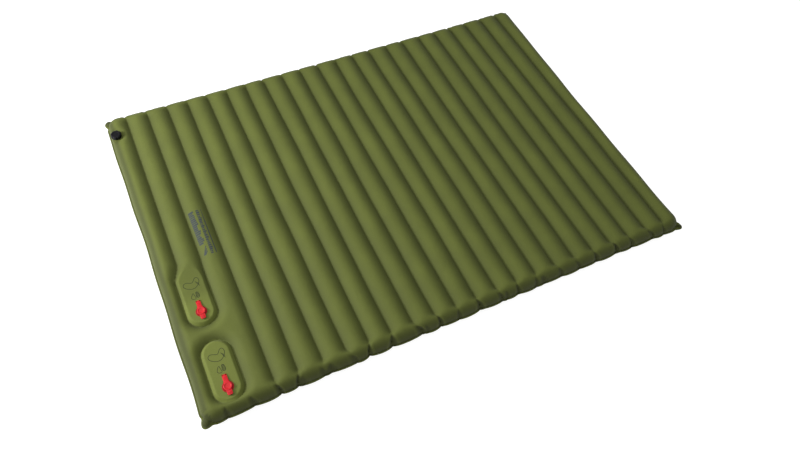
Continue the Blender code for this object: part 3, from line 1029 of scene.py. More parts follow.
    def _shape_outline(self, place: np.ndarray, u: np.ndarray, v: np.ndarray) -> np.ndarray:
        """Pull the weld in between the corners, scallop it at the creases and round the corners.

        Args:
            place: Places of one sheet, changed in place.
            u: Places along X on the flat cloth.
            v: Places along Y on the flat cloth.

        Returns:
            The same places.
        """
        plan = self.plan
        in_end = plan.half_y - np.abs(v)
        in_side = plan.half_x - np.abs(u)
        pull_y = self.pull_end * (1.0 - np.abs(u / plan.half_x) ** 5) * (1.0 - ease(in_end / 0.10))
        pull_side = np.where(u < 0, self.pull_left, self.pull_right)
        pull_x = pull_side * (1.0 - np.abs(v / plan.half_y) ** 5) * (1.0 - ease(in_side / 0.08))
        pull_x = pull_x + self.nick_side * self._nick(in_end) * (1.0 - ease(in_side / 0.020))
        pull_y = pull_y + self.nick_end * self._nick(in_side) * (1.0 - ease(in_end / 0.020))
        wave_x = 0.0016 * np.sin(9.0 * v + 1.3) + 0.0012 * np.sin(21.0 * v + 0.4)
        pull_x = pull_x + wave_x * (1.0 - ease(in_side / 0.06)) * ease(in_end / 0.05)
        for side in (-1, 1):
            notch = np.zeros_like(u)
            for crease in self.puckers:
                if crease.side == side:
                    share = crease.depth / self.deep_crease
                    notch = np.maximum(notch, share * np.exp(-np.abs(u - crease.x) / 0.014))
            here = np.sign(v) == side
            pull_y = pull_y + self.notch_in * notch * (1.0 - ease(in_end / 0.030)) * here
            lift = 0.0022 * np.sin(u * 43.0 + side) + self.notch_up * notch
            place[..., 2] += lift * (1.0 - ease(in_end / 0.018)) * here * ease(in_side / 0.04)
        place[..., 0] -= np.sign(u) * pull_x
        place[..., 1] -= np.sign(v) * pull_y
        bend = self.corner_round
        across = np.clip((bend - in_side) / bend, 0.0, 1.0)
        along = np.clip((bend - in_end) / bend, 0.0, 1.0)
        place[..., 0] += np.sign(u) * bend * across * (np.sqrt(1.0 - along**2 / 2) - 1.0)
        place[..., 1] += np.sign(v) * bend * along * (np.sqrt(1.0 - across**2 / 2) - 1.0)
        return place

    def _nick(self, away: np.ndarray) -> np.ndarray:
        """How much of a corner's nick shows, by distance along the weld."""
        return np.exp(-(((away - self.nick_at) / self.nick_width) ** 2))


# ---------------------------------------------------------------- the pad's cover
@dataclass
class PadCover:
    """The blown-up cover: an upper and a lower sheet welded round their edge, open at pumps and valve."""

    plan: PadPlan
    shape: Inflated
    well_floor: float = 0.0178
    valve_hole: float = 0.0188
    side_margin: float = 0.034
    pump_row: float = 0.0070
    outline_points: int = 96
    columns: tuple[float, ...] = (
        0.0, 0.02, 0.05, 0.085, 0.125, 0.17, 0.22, 0.28, 0.35, 0.43, 0.52, 0.61, 0.70, 0.79, 0.87, 0.94, 0.98,
    )
    end_rows: tuple[float, ...] = (
        0.0, 0.0015, 0.004, 0.006, 0.0068, 0.008, 0.0098, 0.012, 0.0145, 0.0175, 0.021, 0.025, 0.029, 0.033, 0.038,
        0.043, 0.049, 0.055, 0.062, 0.070, 0.080,
    )
    side_lines: tuple[float, ...] = (
        0.0015, 0.004, 0.006, 0.0068, 0.008, 0.010, 0.0125, 0.0155, 0.019, 0.023, 0.028,
    )

    def lines_along_x(self) -> np.ndarray:
        """Grid lines across the tubes, close together by the grooves and the two long edges.

        Returns:
            The lines, in order.
        """
        plan = self.plan
        starts = np.concatenate([[plan.grooves[0] - plan.pitch], plan.grooves])
        inner = [start + share * plan.pitch for start in starts for share in self.columns]
        inner = [stop for stop in inner if abs(stop) < plan.half_x - self.side_margin]
        edge = [side * (plan.half_x - line) for side in (-1, 1) for line in (0.0, *self.side_lines)]
        return np.array(sorted(inner + edge))

    def lines_along_y(self) -> np.ndarray:
        """Grid lines along the tubes, close together at the ends and by the pumps.

        Returns:
            The lines, in order.
        """
        plan = self.plan
        ends = [side * (plan.half_y - row) for side in (-1, 1) for row in self.end_rows]
        last = plan.half_y - self.end_rows[-1]
        pumps = np.arange(-last + self.pump_row, plan.pumps[0].y + 0.20, self.pump_row)
        rest = np.linspace(pumps[-1], last, 50)[1:-1]
        return np.array(sorted([*ends, *pumps, *rest]))

    def build(self, finish: bpy.types.Material) -> bpy.types.Object:
        """Make the cover's closed mesh, with its wells and the painted shade in its hollows.

        Args:
            finish: The cloth it is made of.

        Returns:
            The cover.
        """
        columns, rows = self.lines_along_x(), self.lines_along_y()
        bm = bmesh.new()
        for top in (True, False):
            bm.from_mesh(self._sheet(columns, rows, top))
        rim = [vert for vert in bm.verts if vert.is_boundary]
        bmesh.ops.remove_doubles(bm, verts=rim, dist=0.00002)
        bmesh.ops.recalc_face_normals(bm, faces=bm.faces)
        cover = add_piece("pad_cover", mesh_of("pad_cover", bm, 60.0), finish)
        cut_away(cover, self._wells())
        log.info("pad_cover: %d faces", len(cover.data.polygons))
        return cover

    def _sheet(self, columns: np.ndarray, rows: np.ndarray, top: bool) -> bpy.types.Mesh:
        """One sheet of the cover as its own mesh.

        Args:
            columns: Grid lines across the tubes.
            rows: Grid lines along the tubes.
            top: True for the upper sheet, False for the lower.

        Returns:
            The sheet, with painted shade in its hollows.
        """
        bm = bmesh.new()
        bmesh.ops.create_grid(bm, x_segments=len(columns) - 1, y_segments=len(rows) - 1, size=0.5)
        mesh = plain_mesh("sheet", bm)
        flat = places_of(mesh)
        column = np.rint((flat[:, 0] + 0.5) * (len(columns) - 1)).astype(int)
        row = np.rint((flat[:, 1] + 0.5) * (len(rows) - 1)).astype(int)
        u, v = np.meshgrid(columns, rows, indexing="ij")
        place, depth = self.shape.sheet(u, v, top)
        mesh.vertices.foreach_set("co", place[column, row].ravel())
        # painted shade: darker in the grooves, creases and corner lobes and along the weld
        paint(mesh, "hollow", depth[column, row])
        mesh.update()
        return mesh

    def _wells(self) -> list[bpy.types.Object]:
        """The tools that open the two pump wells and the deflate valve's hole.

        Returns:
            The tools, as closed solids.
        """
        tools = []
        for pump in self.plan.pumps:
            bm = oval_outline(pump.width, pump.length, self.outline_points)
            tools.append(prism(bm, (pump.x, pump.y, self.well_floor), 0.12))
        bm = bmesh.new()
        bmesh.ops.create_circle(bm, cap_ends=True, segments=64, radius=self.valve_hole)
        tools.append(prism(bm, (self.plan.valve.x, self.plan.valve.y, 0.062), 0.06))
        return tools


def oval_outline(width: float, length: float, points: int) -> bmesh.types.BMesh:
    """A flat oval face with round ends: a circle whose halves are drawn apart along Y.

    Args:
        width: Its width along X.
        length: Its length along Y.
        points: How many points its outline has.

    Returns:
        A bmesh with one face.
    """
    bm = bmesh.new()
    bmesh.ops.create_circle(bm, cap_ends=True, segments=points, radius=width / 2)
    half_step = Matrix.Rotation(math.pi / points, 3, "Z")
    bmesh.ops.rotate(bm, verts=bm.verts, cent=(0, 0, 0), matrix=half_step)
    stretch = (length - width) / 2
    for vert in bm.verts:
        vert.co.y += math.copysign(stretch, vert.co.y)
    return bm


def prism(bm: bmesh.types.BMesh, at: Spot, height: float) -> bpy.types.Object:
    """Raise a flat face into an upright solid.

    Args:
        bm: A bmesh with one flat face, which is freed.
        at: Where its foot stands.
        height: How tall it is.

    Returns:
        The solid.
    """
    bmesh.ops.translate(bm, verts=raise_faces(bm), vec=(0, 0, height))
    bmesh.ops.translate(bm, verts=bm.verts, vec=at)
    bmesh.ops.recalc_face_normals(bm, faces=bm.faces)
    solid = bpy.data.objects.new("tool", plain_mesh("tool", bm))
    bpy.context.scene.collection.objects.link(solid)
    return solid


@dataclass
class FootPump:
    """One foot pump: its press panel of cover cloth, its foam and its printed marks."""

    plan: PadPlan
    shape: Inflated
    place: PumpPlace
    travel: float = 0.042
    cloth: float = 0.0008
    rings: tuple[float, ...] = (*(0.0015,) * 8, 0.002, 0.002, 0.003, 0.004, 0.006, 0.008)
    row_step: float = 0.0060
    boot_reach: float = 0.114
    puff_reach: float = 0.071
    foam_gap: float = 0.0006
    foam_trim: float = 0.0016
    neck_hole: float = 0.0113
    foam_pocket: float = 0.0140
    panel_low: float = 0.0833

    def _domed(self, trim: float) -> bmesh.types.BMesh:
        """A flat oval with rings and rows, ready to be raised to the fabric's face.

        Args:
            trim: How far its edge stands in from the pump's outline.

        Returns:
            The flat oval, at the pump's place.
        """
        bm = oval_outline(self.place.width - 2 * trim, self.place.length - 2 * trim, 96)
        inner = list(bm.faces)
        for thickness in self.rings:
            bmesh.ops.inset_individual(bm, faces=inner, thickness=thickness, use_even_offset=True)
        rows = int(self.place.length / self.row_step)
        for number in range(1, rows):
            level = -self.place.length / 2 + number * self.row_step
            geom = [*bm.verts, *bm.edges, *bm.faces]
            bmesh.ops.bisect_plane(bm, geom=geom, dist=0.0006, plane_co=(0, level, 0), plane_no=(0, 1, 0))
        bmesh.ops.translate(bm, verts=bm.verts, vec=(self.place.x, self.place.y, 0))
        bmesh.ops.triangulate(bm, faces=[face for face in bm.faces if len(face.verts) > 4])
        return bm

    def _raise(self, bm: bmesh.types.BMesh, under: float) -> None:
        """Lift the domed oval's points to the fabric's face, or just under it.

        Args:
            bm: The oval, whose points are moved.
            under: How far under the face.
        """
        bm.verts.ensure_lookup_table()
        x = np.array([vert.co.x for vert in bm.verts])
        y = np.array([vert.co.y for vert in bm.verts])
        for vert, height in zip(bm.verts, self.shape.face(x, y)):
            vert.co.z = height - under

    def panel(self, finish: bpy.types.Material) -> bpy.types.Object:
        """The press panel: the cover's cloth over the foam, which sinks under a foot.

        Args:
            finish: The cloth.

        Returns:
            The panel.
        """
        name = "press_panel_" + self.place.name
        bm = self._domed(0.0)
        self._raise(bm, 0.0)
        bmesh.ops.recalc_face_normals(bm, faces=bm.faces)
        if sum(face.normal.z for face in bm.faces) < 0:
            bmesh.ops.reverse_faces(bm, faces=bm.faces)
        piece = add_piece(name, mesh_of(name, bm), finish)
        self._paint_light_and_shade(piece)
        wall = piece.modifiers.new("wall", "SOLIDIFY")
        wall.thickness = self.cloth
        wall.offset = -1.0
        hole = bmesh.new()
        bmesh.ops.create_circle(hole, cap_ends=True, segments=48, radius=self.neck_hole)
        cut_away(piece, [prism(hole, (self.place.valve.x, self.place.valve.y, 0.06), 0.06)])
        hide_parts("pump_panel_" + self.place.name)
        self._sink(piece)
        return piece

    def _sink(self, piece: bpy.types.Object) -> None:
        """Bake a piece's place into its mesh.

        Args:
            piece: The panel or the signs.
        """
        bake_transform(piece)

    def _paint_light_and_shade(self, piece: bpy.types.Object) -> None:
        """Paint the panel's painted shade, by how hollow it is at each point, and its painted light inside the
        pump's outline.

        Args:
            piece: The panel.
        """
        x, y, _ = places_of(piece.data).T
        crown = self.shape.crown(x, y, True)
        # painted light: the panel is painted lighter inside the pump's outline, fading out towards the upper pump's
        # end that runs into its tube
        painted_panel_light = ease(-self.place.distance(x, y) / 0.004)
        if self.place.name == "upper":
            painted_panel_light *= ease((self.place.y + 0.5 * self.place.straight - y) / 0.07)
        # painted shade towards the panel's rim, where it dips
        paint(piece.data, "hollow", np.clip(1.0 - crown - 0.2, 0.0, 1.0) ** 2)
        paint(piece.data, "painted_panel_light", painted_panel_light)

    def foam(self, finish: bpy.types.Material) -> bpy.types.Object:
        """The foam block under the panel, with the pocket that clears the valve's neck.

        Args:
            finish: The foam.

        Returns:
            The foam block.
        """
        name = "foam_block_" + self.place.name
        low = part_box("pump_foam_" + self.place.name)[0].z
        bm = self._domed(self.foam_trim)
        self._raise(bm, self.cloth + self.foam_gap)
        tall = max(vert.co.z for vert in bm.verts) - low
        for vert in raise_faces(bm):
            vert.co.z = low
        bmesh.ops.recalc_face_normals(bm, faces=bm.faces)
        piece = add_piece(name, mesh_of(name, bm), finish)
        pocket = bmesh.new()
        bmesh.ops.create_circle(pocket, cap_ends=True, segments=48, radius=self.foam_pocket)
        cut_away(piece, [prism(pocket, (self.place.valve.x, self.place.valve.y, low - 0.004), 0.09)])
        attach(piece, "pad")
        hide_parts("pump_foam_" + self.place.name)
        keep = (self.panel_low - self.travel - 2 * self.foam_gap - low) / tall
        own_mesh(piece)
        return piece

    def marks(self, finish: bpy.types.Material) -> bpy.types.Object:
        """The two printed signs beside the valve: a boot sole's outline, and a puff of air.

        Args:
            finish: The ink.

        Returns:
            The signs, as one thin printed piece.
        """
        name = "pump_signs_" + self.place.name
        bm = bmesh.new()
        boot = [
            (-0.004, -0.019), (-0.016, -0.014), (-0.027, -0.006), (-0.031, 0.004), (-0.026, 0.012), (-0.016, 0.013),
            (-0.006, 0.008), (0.002, 0.005), (0.008, 0.012), (0.013, 0.021), (0.022, 0.023), (0.027, 0.014),
            (0.026, 0.002), (0.018, -0.010), (0.008, -0.018),
        ]
        puff = [
            (-0.013, -0.004), (-0.015, -0.012), (-0.008, -0.018), (0.002, -0.016), (-0.002, -0.004), (-0.004, 0.010),
        ]
        drop = [(0.003, -0.012), (0.010, -0.016), (0.015, -0.008), (0.013, 0.004), (0.006, 0.012), (0.004, 0.000)]
        centre = self.place.valve
        boot_at = (centre.x, centre.y + self.boot_reach)
        tread_at = (centre.x, centre.y + self.boot_reach - 2 * MILLIMETRE)
        puff_at = (centre.x - 2 * MILLIMETRE, centre.y + self.puff_reach)
        self._stroke(bm, boot, boot_at, 0.0018)
        self._stroke(bm, puff, puff_at, 0.0016)
        self._stroke(bm, drop, puff_at, 0.0016)
        for number in range(4):
            slide = 0.003 * number
            hatch = [(0.012 + slide * 0.6, 0.010 - slide * 1.2), (0.0235, -0.002 - slide * 1.2)]
            self._stroke(bm, hatch, tread_at, 0.0010, closed=False)
        for number in range(5):
            slide = 0.0040 * number
            hatch = [(0.0035, -0.011 + slide), (0.0135, -0.009 + slide)]
            self._stroke(bm, hatch, puff_at, 0.0018, closed=False)
        piece = add_piece(name, mesh_of(name, bm), finish)
        self._sink(piece)
        return piece

    def _stroke(
        self, bm: bmesh.types.BMesh, path: Path, at: tuple[float, float], width: float, closed: bool = True
    ) -> None:
        """Lay a thin printed line along a path on the panel.

        Args:
            bm: Where the line is added.
            path: Its corners, from the sign's centre.
            at: The sign's centre in plan.
            width: The line's width.
            closed: True to join its last corner to its first.
        """
        stroke_on(bm, self._smooth(path, closed), at, width, closed, self.shape.face)

    @staticmethod
    def _smooth(path: Path, closed: bool) -> Path:
        """Round a closed path's corners by cutting them twice.

        Args:
            path: The path.
            closed: True to join its last corner to its first.

        Returns:
            The rounded path, or an open one as it was.
        """
        if not closed:
            return path
        for _ in range(2):
            path = [
                (share * first[0] + (1 - share) * second[0], share * first[1] + (1 - share) * second[1])
                for first, second in zip(path, path[1:] + path[:1])
                for share in (0.75, 0.25)
            ]
        return path

    def build(self, cloth: bpy.types.Material, foam: bpy.types.Material, ink: bpy.types.Material) -> None:
        """Make all of the pump's soft pieces."""
        for piece in (self.panel(cloth), self.foam(foam), self.marks(ink)):
            log.info("%s: %d faces", piece.name, len(piece.data.polygons))


def stroke_on(
    bm: bmesh.types.BMesh, path: Path, at: tuple[float, float], width: float, closed: bool,
    surface: Callable[[np.ndarray, np.ndarray], np.ndarray],
) -> None:
    """Lay a thin flat line on a surface, as a closed strip about 0.1 mm thick.

    Args:
        bm: Where the strip is added.
        path: Its middle line, from the sign's centre.
        at: The sign's centre in plan.
        width: The strip's width.
        closed: True to join its ends.
        surface: Gives the height at places x and y.
    """
    points = [Vector((x + at[0], y + at[1])) for x, y in path]
    count = len(points)
    rings = []
    for index, point in enumerate(points):
        before = points[(index - 1) % count] if closed or index else point
        after = points[(index + 1) % count] if closed or index < count - 1 else point
        way = (after - before).normalized()
        aside = Vector((-way.y, way.x)) * width / 2
        left, right = point - aside, point + aside
        ring = []
        for corner, lift in ((left, INK_TOP), (right, INK_TOP), (right, INK_FOOT), (left, INK_FOOT)):
            height = float(surface(np.array([corner.x]), np.array([corner.y]))[0])
            ring.append(bm.verts.new((corner.x, corner.y, height + lift)))
        rings.append(ring)
    made = []
    for first, second in zip(rings, rings[1:] + rings[:1] if closed else rings[1:]):
        for side in range(4):
            after = (side + 1) % 4
            made.append(bm.faces.new((first[side], second[side], second[after], first[after])))
    if not closed:
        made.append(bm.faces.new(rings[0]))
        made.append(bm.faces.new(rings[-1][::-1]))
    bmesh.ops.recalc_face_normals(bm, faces=made)


@dataclass
class TubePrint:
    """A plain printed badge of bars and peaks on the third tube."""

    plan: PadPlan
    shape: Inflated
    width: float = 0.052
    length: float = 0.208
    step: float = 0.005
    line: float = 0.0030
    seed: int = 5

    def _run(self, first: tuple[float, float], last: tuple[float, float]) -> Path:
        """A straight path cut into short steps, so that it follows the tube.

        Args:
            first: Where the path starts.
            last: Where it ends.

        Returns:
            The path.
        """
        count = max(int(math.hypot(last[0] - first[0], last[1] - first[1]) / self.step), 1)
        share = np.linspace(0.0, 1.0, count + 1)
        return [(first[0] + s * (last[0] - first[0]), first[1] + s * (last[1] - first[1])) for s in share]

    def build(self, finish: bpy.types.Material) -> bpy.types.Object:
        """Print the badge.

        Args:
            finish: The ink.

        Returns:
            The badge, as one thin printed piece.
        """
        bm = bmesh.new()
        at = ((self.plan.grooves[1] + self.plan.grooves[2]) / 2 - 0.004, -0.004)
        half_x, half_y = self.width / 2, self.length / 2
        draw = np.random.default_rng(self.seed)
        for low, high in ((-half_x, -half_x * 0.12), (half_x * 0.12, half_x * 0.62)):
            y = -half_y + (0.052 if low < 0 else 0.0)
            while y < half_y - 0.006:
                thick = draw.uniform(0.0045, 0.0085)
                end = high - draw.uniform(0.0, 0.35) * (high - low)
                bar_path = self._run((low, y + thick / 2), (end, y + thick / 2))
                stroke_on(bm, bar_path, at, thick, False, self.shape.face)
                y += thick + draw.uniform(0.0012, 0.0028)
        for rise in (0.0, 0.007, 0.014):
            peak = [(-half_x + 0.004 + rise * 0.4, -half_y + 0.004), (-0.006, -half_y + 0.040 - rise * 1.6)]
            stroke_on(bm, self._run(*peak), at, self.line, False, self.shape.face)
        side_line = self._run((half_x * 0.85, -half_y), (half_x * 0.85, half_y))
        stroke_on(bm, side_line, at, self.line, False, self.shape.face)
        piece = add_piece("tube_print", mesh_of("tube_print", bm), finish)
        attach(piece, "pad")
        return piece


# ---------------------------------------------------------------- valves
def turned(profile: Path, closed: bool = False, steps: int = 64) -> bmesh.types.BMesh:
    """A solid spun about the upright through the origin.

    Args:
        profile: Radius and height of each point, in millimetres.
        closed: True when the profile is a ring clear of the upright.
        steps: How many facets go round.

    Returns:
        The solid.
    """
    bm = bmesh.new()
    points = [bm.verts.new((radius * MILLIMETRE, 0.0, height * MILLIMETRE)) for radius, height in profile]
    runs = list(zip(points, points[1:])) + ([(points[-1], points[0])] if closed else [])
    edges = [bm.edges.new(run) for run in runs]
    bmesh.ops.spin(
        bm, geom=[*points, *edges], cent=(0, 0, 0), axis=(0, 0, 1), dvec=(0, 0, 0), angle=2 * math.pi,
        steps=steps, use_merge=True, use_duplicate=False,
    )
    middle = [vert for vert in bm.verts if vert.co.xy.length < 1e-6]
    bmesh.ops.remove_doubles(bm, verts=middle, dist=1e-6)
    bmesh.ops.recalc_face_normals(bm, faces=bm.faces)
    return bm


def both_sides(half: Path) -> Path:
    """An outline that is the same on both sides of its middle, from one half of it."""
    return [*half, *[(-x, y) for x, y in half[::-1]]]


def slab(outline: Path, low: float, high: float, edge: float) -> bmesh.types.BMesh:
    """A flat plate with rounded edges.

    Args:
        outline: Its corners in plan, in millimetres.
        low: Height of its underside, in millimetres.
        high: Height of its top, in millimetres.
        edge: Rounding of its edges, in millimetres.

    Returns:
        The plate.
    """
    bm = bmesh.new()
    bm.faces.new([bm.verts.new((x * MILLIMETRE, y * MILLIMETRE, low * MILLIMETRE)) for x, y in outline])
    bmesh.ops.translate(bm, verts=raise_faces(bm), vec=(0, 0, (high - low) * MILLIMETRE))
    bmesh.ops.recalc_face_normals(bm, faces=bm.faces)
    bmesh.ops.bevel(
        bm, geom=list(bm.edges), offset=edge * MILLIMETRE, offset_type="OFFSET", segments=2, profile=0.5,
        affect="EDGES", material=-1,
    )
    return bm


def bar(radius: float, width: float) -> bmesh.types.BMesh:
    """A round bar along X with rounded ends, both sizes in millimetres.

    Args:
        radius: Half its thickness.
        width: Its length along X.

    Returns:
        The bar.
    """
    half, soft = width / 2, 0.3
    profile = [(0, -half), (radius - soft, -half), (radius, soft - half)]
    profile += [(radius, half - soft), (radius - soft, half), (0, half)]
    bm = turned(profile, steps=32)
    bmesh.ops.rotate(bm, verts=bm.verts, cent=(0, 0, 0), matrix=Matrix.Rotation(math.pi / 2, 3, "Y"))
    return bm


def gather(bm: bmesh.types.BMesh, shape: bmesh.types.BMesh, at: Spot, tip: float = 0.0) -> None:
    """Add a shape to a piece.

    Args:
        bm: The piece.
        shape: The shape, which is freed.
        at: Where its origin goes, in millimetres.
        tip: How far it is first tipped about X, in radians.
    """
    bmesh.ops.rotate(shape, verts=shape.verts, cent=(0, 0, 0), matrix=Matrix.Rotation(tip, 3, "X"))
    bmesh.ops.translate(shape, verts=shape.verts, vec=Vector(at) * MILLIMETRE)
    mesh = plain_mesh("shape", shape)
    bm.from_mesh(mesh)
    bpy.data.meshes.remove(mesh)


def seated(name: str, bm: bmesh.types.BMesh, seat: Vector, finish: bpy.types.Material) -> bpy.types.Object:
    """Stand a piece built round its own origin on its seat."""
    bmesh.ops.translate(bm, verts=bm.verts, vec=seat)
    return add_piece(name, mesh_of(name, bm, 32.0), finish)


@dataclass
class IntakeValve:
    """The red valve in a press panel: a flanged body with its strap leaf, and the plug on its strap."""

    place: PumpPlace
    hinge_reach: float = 43.0
    hinge_height: float = 2.0
    strap_start: float = 8.7
    strap_height: float = 5.5

    def body(self, finish: bpy.types.Material) -> bpy.types.Object:
        """The flanged body.

        Args:
            finish: Its plastic.

        Returns:
            The body.
        """
        bm = bmesh.new()
        gather(bm, turned([
            (8.5, -11.7), (8.5, 3.6), (8.9, 4.0), (10.6, 4.0), (11.0, 3.6), (11.1, 2.7), (11.6, 2.1), (12.6, 1.9),
            (17.0, 1.9), (17.4, 2.2), (18.6, 2.2), (19.2, 1.8), (19.5, 1.2), (19.5, 0.3), (11.0, 0.3), (11.0, -11.6),
            (10.6, -12.0), (8.8, -12.0),
        ], closed=True), (0, 0, 0))
        half = [(12.5, 13.0), (10.0, 18.5), (8.4, 22.5), (8.0, 26.0), (8.0, 43.0), (4.4, 43.0), (4.4, 40.5)]
        gather(bm, slab(both_sides(half), 0.32, 1.5, 0.25), (0, 0, 0))
        for side in (-1, 1):
            gather(bm, bar(1.5, 3.6), (side * 6.2, self.hinge_reach, self.hinge_height))
        name = "intake_valve_" + self.place.name
        piece = seated(name, bm, self.place.valve, finish)
        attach(piece, "press_" + self.place.name)
        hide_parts("intake_valve_body_" + self.place.name)
        return piece

    def plug(self, finish: bpy.types.Material) -> bpy.types.Object:
        """The plug: a dished cap with its pin, its strap and its pull tab.

        Args:
            finish: Its plastic.

        Returns:
            The plug.
        """
        bm = bmesh.new()
        gather(bm, turned([
            (0.0, 6.5), (7.6, 6.5), (8.8, 6.8), (10.0, 7.5), (11.0, 7.8), (13.3, 7.8), (14.2, 7.3), (14.5, 6.5),
            (14.5, 4.9), (14.0, 4.3), (8.2, 4.3), (7.35, -2.4), (6.9, -3.0), (0.0, -3.0),
        ]), (0, 0, 0))
        run = self.hinge_reach - self.strap_start
        slope = math.atan2(self.strap_height - self.hinge_height, run)
        half = [(11.0, -1.0), (10.2, 4.5), (8.6, 8.5), (8.0, 12.5), (8.0, run - 3.6), (3.9, run - 3.5), (3.9, run)]
        start = (0, self.strap_start, self.strap_height)
        gather(bm, slab(both_sides(half), -0.6, 0.6, 0.25), start, -slope)
        for number in range(4):
            y = 14.0 + 3.2 * number
            rib = both_sides([(5.6, y), (5.6, y + 1.2)])
            gather(bm, slab(rib, 0.5, 0.85, 0.12), start, -slope)
        side = [(9.0, -7.0), (9.0, -26.6), (8.3, -29.2), (5.6, -31.0)]
        gather(bm, slab(both_sides(side), 4.6, 6.4, 0.35), (0, 0, 0))
        for number in range(3):
            y = -20.4 - 3.0 * number
            rib = both_sides([(6.4, y), (6.4, y - 1.3)])
            gather(bm, slab(rib, 6.3, 6.9, 0.2), (0, 0, 0))
        gather(bm, bar(1.5, 8.0), (0, self.hinge_reach, self.hinge_height))
        name = "intake_plug_" + self.place.name
        piece = seated(name, bm, self.place.valve, finish)
        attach(piece, "plug_" + self.place.name)
        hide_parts("intake_cap_" + self.place.name)
        return piece


@dataclass
class DeflateValve:
    """The black screw valve on the corner: its threaded base and its scalloped cap."""

    seat: Vector
    cap_radius: float = 21.0
    scallops: int = 8
    scallop_radius: float = 6.0
    scallop_depth: float = 1.6
    skirt_inside: float = 16.5

    def base(self, finish: bpy.types.Material) -> bpy.types.Object:
        """The base with its thread.

        Args:
            finish: Its plastic.

        Returns:
            The base.
        """
        thread = []
        for height in (6.2, 4.6, 3.0):
            thread += [(14.9, height + 0.5), (15.2, height + 0.1), (15.2, height - 0.1), (14.9, height - 0.5)]
        bm = turned([
            (10.0, -9.7), (10.0, 7.6), (10.4, 8.0), (14.4, 8.0), (14.9, 7.5), *thread, (15.0, 0.8), (15.6, 0.3),
            (18.1, 0.3), (18.5, 0.0), (18.5, -1.3), (13.0, -1.3), (13.0, -9.6), (12.6, -10.0), (10.3, -10.0),
        ], closed=True)
        piece = seated("deflate_base", bm, self.seat, finish)
        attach(piece, "pad")
        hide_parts("deflate_valve_base")
        return piece

    def _rim(self, turn: float) -> float:
        """Radius of the scalloped rim in one direction, in millimetres.

        Args:
            turn: The direction, in radians.

        Returns:
            The radius.
        """
        pitch = 2 * math.pi / self.scallops
        off = (turn + pitch / 2) % pitch - pitch / 2
        away = self.cap_radius + self.scallop_radius - self.scallop_depth
        reach = self.scallop_radius**2 - (away * math.sin(off)) ** 2
        return min(self.cap_radius, away * math.cos(off) - math.sqrt(reach)) if reach > 0 else self.cap_radius

    def cap(self, finish: bpy.types.Material) -> bpy.types.Object:
        """The cap, hollow under its skirt.

        Args:
            finish: Its plastic.

        Returns:
            The cap.
        """
        bm = turned([
            (0.0, 16.2), (10.8, 16.2), (11.6, 16.9), (12.2, 17.0), (16.9, 17.0), (18.7, 16.4), (20.1, 15.2),
            (20.9, 13.4), (21.0, 12.4), (21.0, 4.1), (20.5, 3.5), (15.9, 3.5), (15.6, 3.8), (15.6, 8.6), (3.3, 8.6),
            (3.3, 13.925), (0.0, 13.925),
        ], steps=192)
        for vert in bm.verts:
            radius = vert.co.xy.length
            if radius > self.skirt_inside * MILLIMETRE:
                cut = self.cap_radius - self._rim(math.atan2(vert.co.y, vert.co.x))
                vert.co.xy *= 1.0 - cut * MILLIMETRE / radius
        piece = seated("deflate_cap", bm, self.seat, finish)
        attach(piece, "valve_cap")
        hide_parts("deflate_valve_cap")
        return piece


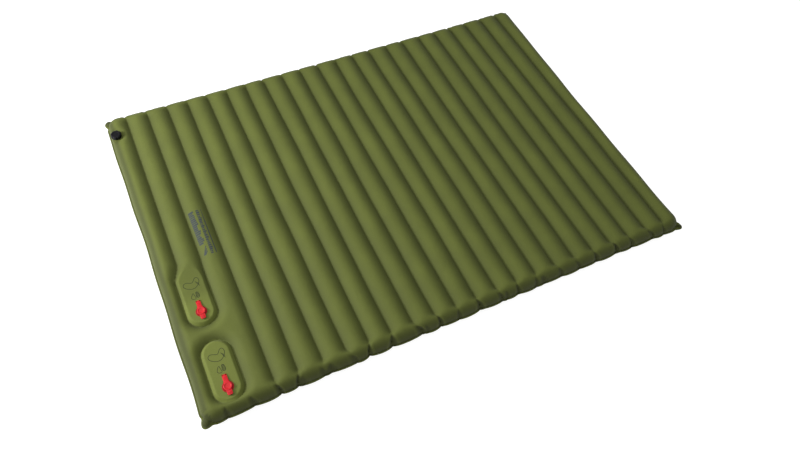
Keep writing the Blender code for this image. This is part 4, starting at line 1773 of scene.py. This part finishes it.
# ---------------------------------------------------------------- studio
@dataclass
class Studio:
    """Floor, lights and camera."""

    floor_size: float = 40.0
    floor_grey: float = 0.30
    floor_glow: float = 0.90
    room_light: float = 0.60
    lens: float = 30.44
    camera_at: Spot = (-0.822, -1.493, 2.213)
    camera_right: Spot = (0.8993, -0.4325, 0.0650)
    camera_up: Spot = (0.3271, 0.7635, 0.5568)

    def floor(self) -> None:
        """A plain floor that glows like a light table, so that shadows on it are faint."""
        bm = bmesh.new()
        bmesh.ops.create_grid(bm, x_segments=1, y_segments=1, size=self.floor_size)
        sheet = NodeSheet("pale_floor")
        sheet.wear({
            "Base Color": (*(self.floor_grey,) * 3, 1.0),
            "Emission Color": (1.0, 1.0, 1.0, 1.0),
            "Emission Strength": self.floor_glow,
            "Roughness": 0.9,
            "Specular IOR Level": 0.1,
        })
        piece = add_piece("floor", mesh_of("floor", bm), sheet.material)

    def lamp(self, name: str, at: Spot, aim: Spot, size: float, power: float) -> None:
        """Hang a square soft light.

        Args:
            name: The light's name.
            at: Where it hangs.
            aim: What it points at.
            size: The length of its side.
            power: Its power in watts.
        """
        light = bpy.data.lights.new(name, "AREA")
        light.size = size
        light.energy = power
        lamp = bpy.data.objects.new(name, light)
        lamp.location = at
        lamp.rotation_euler = (Vector(aim) - Vector(at)).to_track_quat("-Z", "Y").to_euler()
        bpy.context.scene.collection.objects.link(lamp)

    def light(self) -> None:
        """Soft light from the pump end, and a bright room."""
        world = bpy.data.worlds.new("room")
        bpy.context.scene.world = world
        world.use_nodes = True
        sky = world.node_tree.nodes["Background"].inputs
        sky["Color"].default_value = (1.0, 1.0, 1.0, 1.0)
        sky["Strength"].default_value = self.room_light
        self.lamp("key", (-3.2, 0.8, 1.40), (-0.1, 0.0, 0.05), 0.7, 150.0)
        self.lamp("top", (-1.5, 0.3, 2.8), (-0.3, 0.0, 0.0), 3.0, 60.0)
        bpy.context.scene.view_settings.view_transform = "Standard"

    def camera(self) -> None:
        """The camera, above the pump end's near corner."""
        data = bpy.data.cameras.new("camera")
        data.lens = self.lens
        data.sensor_width = 36.0
        data.clip_end = 60.0
        camera = bpy.data.objects.new("camera", data)
        right = Vector(self.camera_right)
        back = right.cross(Vector(self.camera_up)).normalized()
        up = back.cross(right).normalized()
        turn = Matrix((right.normalized(), up, back)).transposed()
        camera.matrix_world = Matrix.Translation(self.camera_at) @ turn.to_4x4()
        bpy.context.scene.collection.objects.link(camera)
        bpy.context.scene.camera = camera

    def build(self) -> None:
        """Set up the whole studio."""
        self.floor()
        self.light()
        self.camera()


def dress_frame(frame: dict, finishes: dict[str, bpy.types.Material]) -> None:
    """Give each CAD node that stays the finish of its material slot.

    Args:
        finishes: A finish for each slot.
    """
    for row in frame["record"]["subparts"]:
        node = frame["nodes"].get(row["node"])
        if node is None:
            continue
        node.data.materials.clear()
        node.data.materials.append(finishes[row["material_slot"]])


def main() -> None:
    """Build the pad's looks and its studio, in order."""
    logging.basicConfig(level=logging.INFO, format="%(name)s: %(message)s")
    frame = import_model()
    plan = PadPlan.read()
    shape = Inflated(plan)
    finishes = {
        "top_fabric": TOP_CLOTH.make(), "base_fabric": BASE_CLOTH.make(), "web_fabric": WEB_CLOTH.make(),
        "foam": PUMP_FOAM.make(), "valve_red": VALVE_RED.make(), "plug_red": PLUG_RED.make(),
        "silicone": SILICONE.make(), "valve_black": VALVE_BLACK.make(),
    }
    dress_frame(frame, finishes)
    cover = PadCover(plan, shape).build(finishes["top_fabric"])
    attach(cover, "pad")
    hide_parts("top_skin", "bottom_skin")
    ink = DARK_INK.make()
    for place in plan.pumps:
        FootPump(plan, shape, place).build(finishes["top_fabric"], finishes["foam"], ink)
        valve = IntakeValve(place)
        valve.body(finishes["valve_red"])
        valve.plug(finishes["plug_red"])
    TubePrint(plan, shape).build(BLUE_INK.make())
    deflate = DeflateValve(plan.valve)
    deflate.base(finishes["valve_black"])
    deflate.cap(finishes["valve_black"])
    Studio().build()


if __name__ == "__main__":
    main()
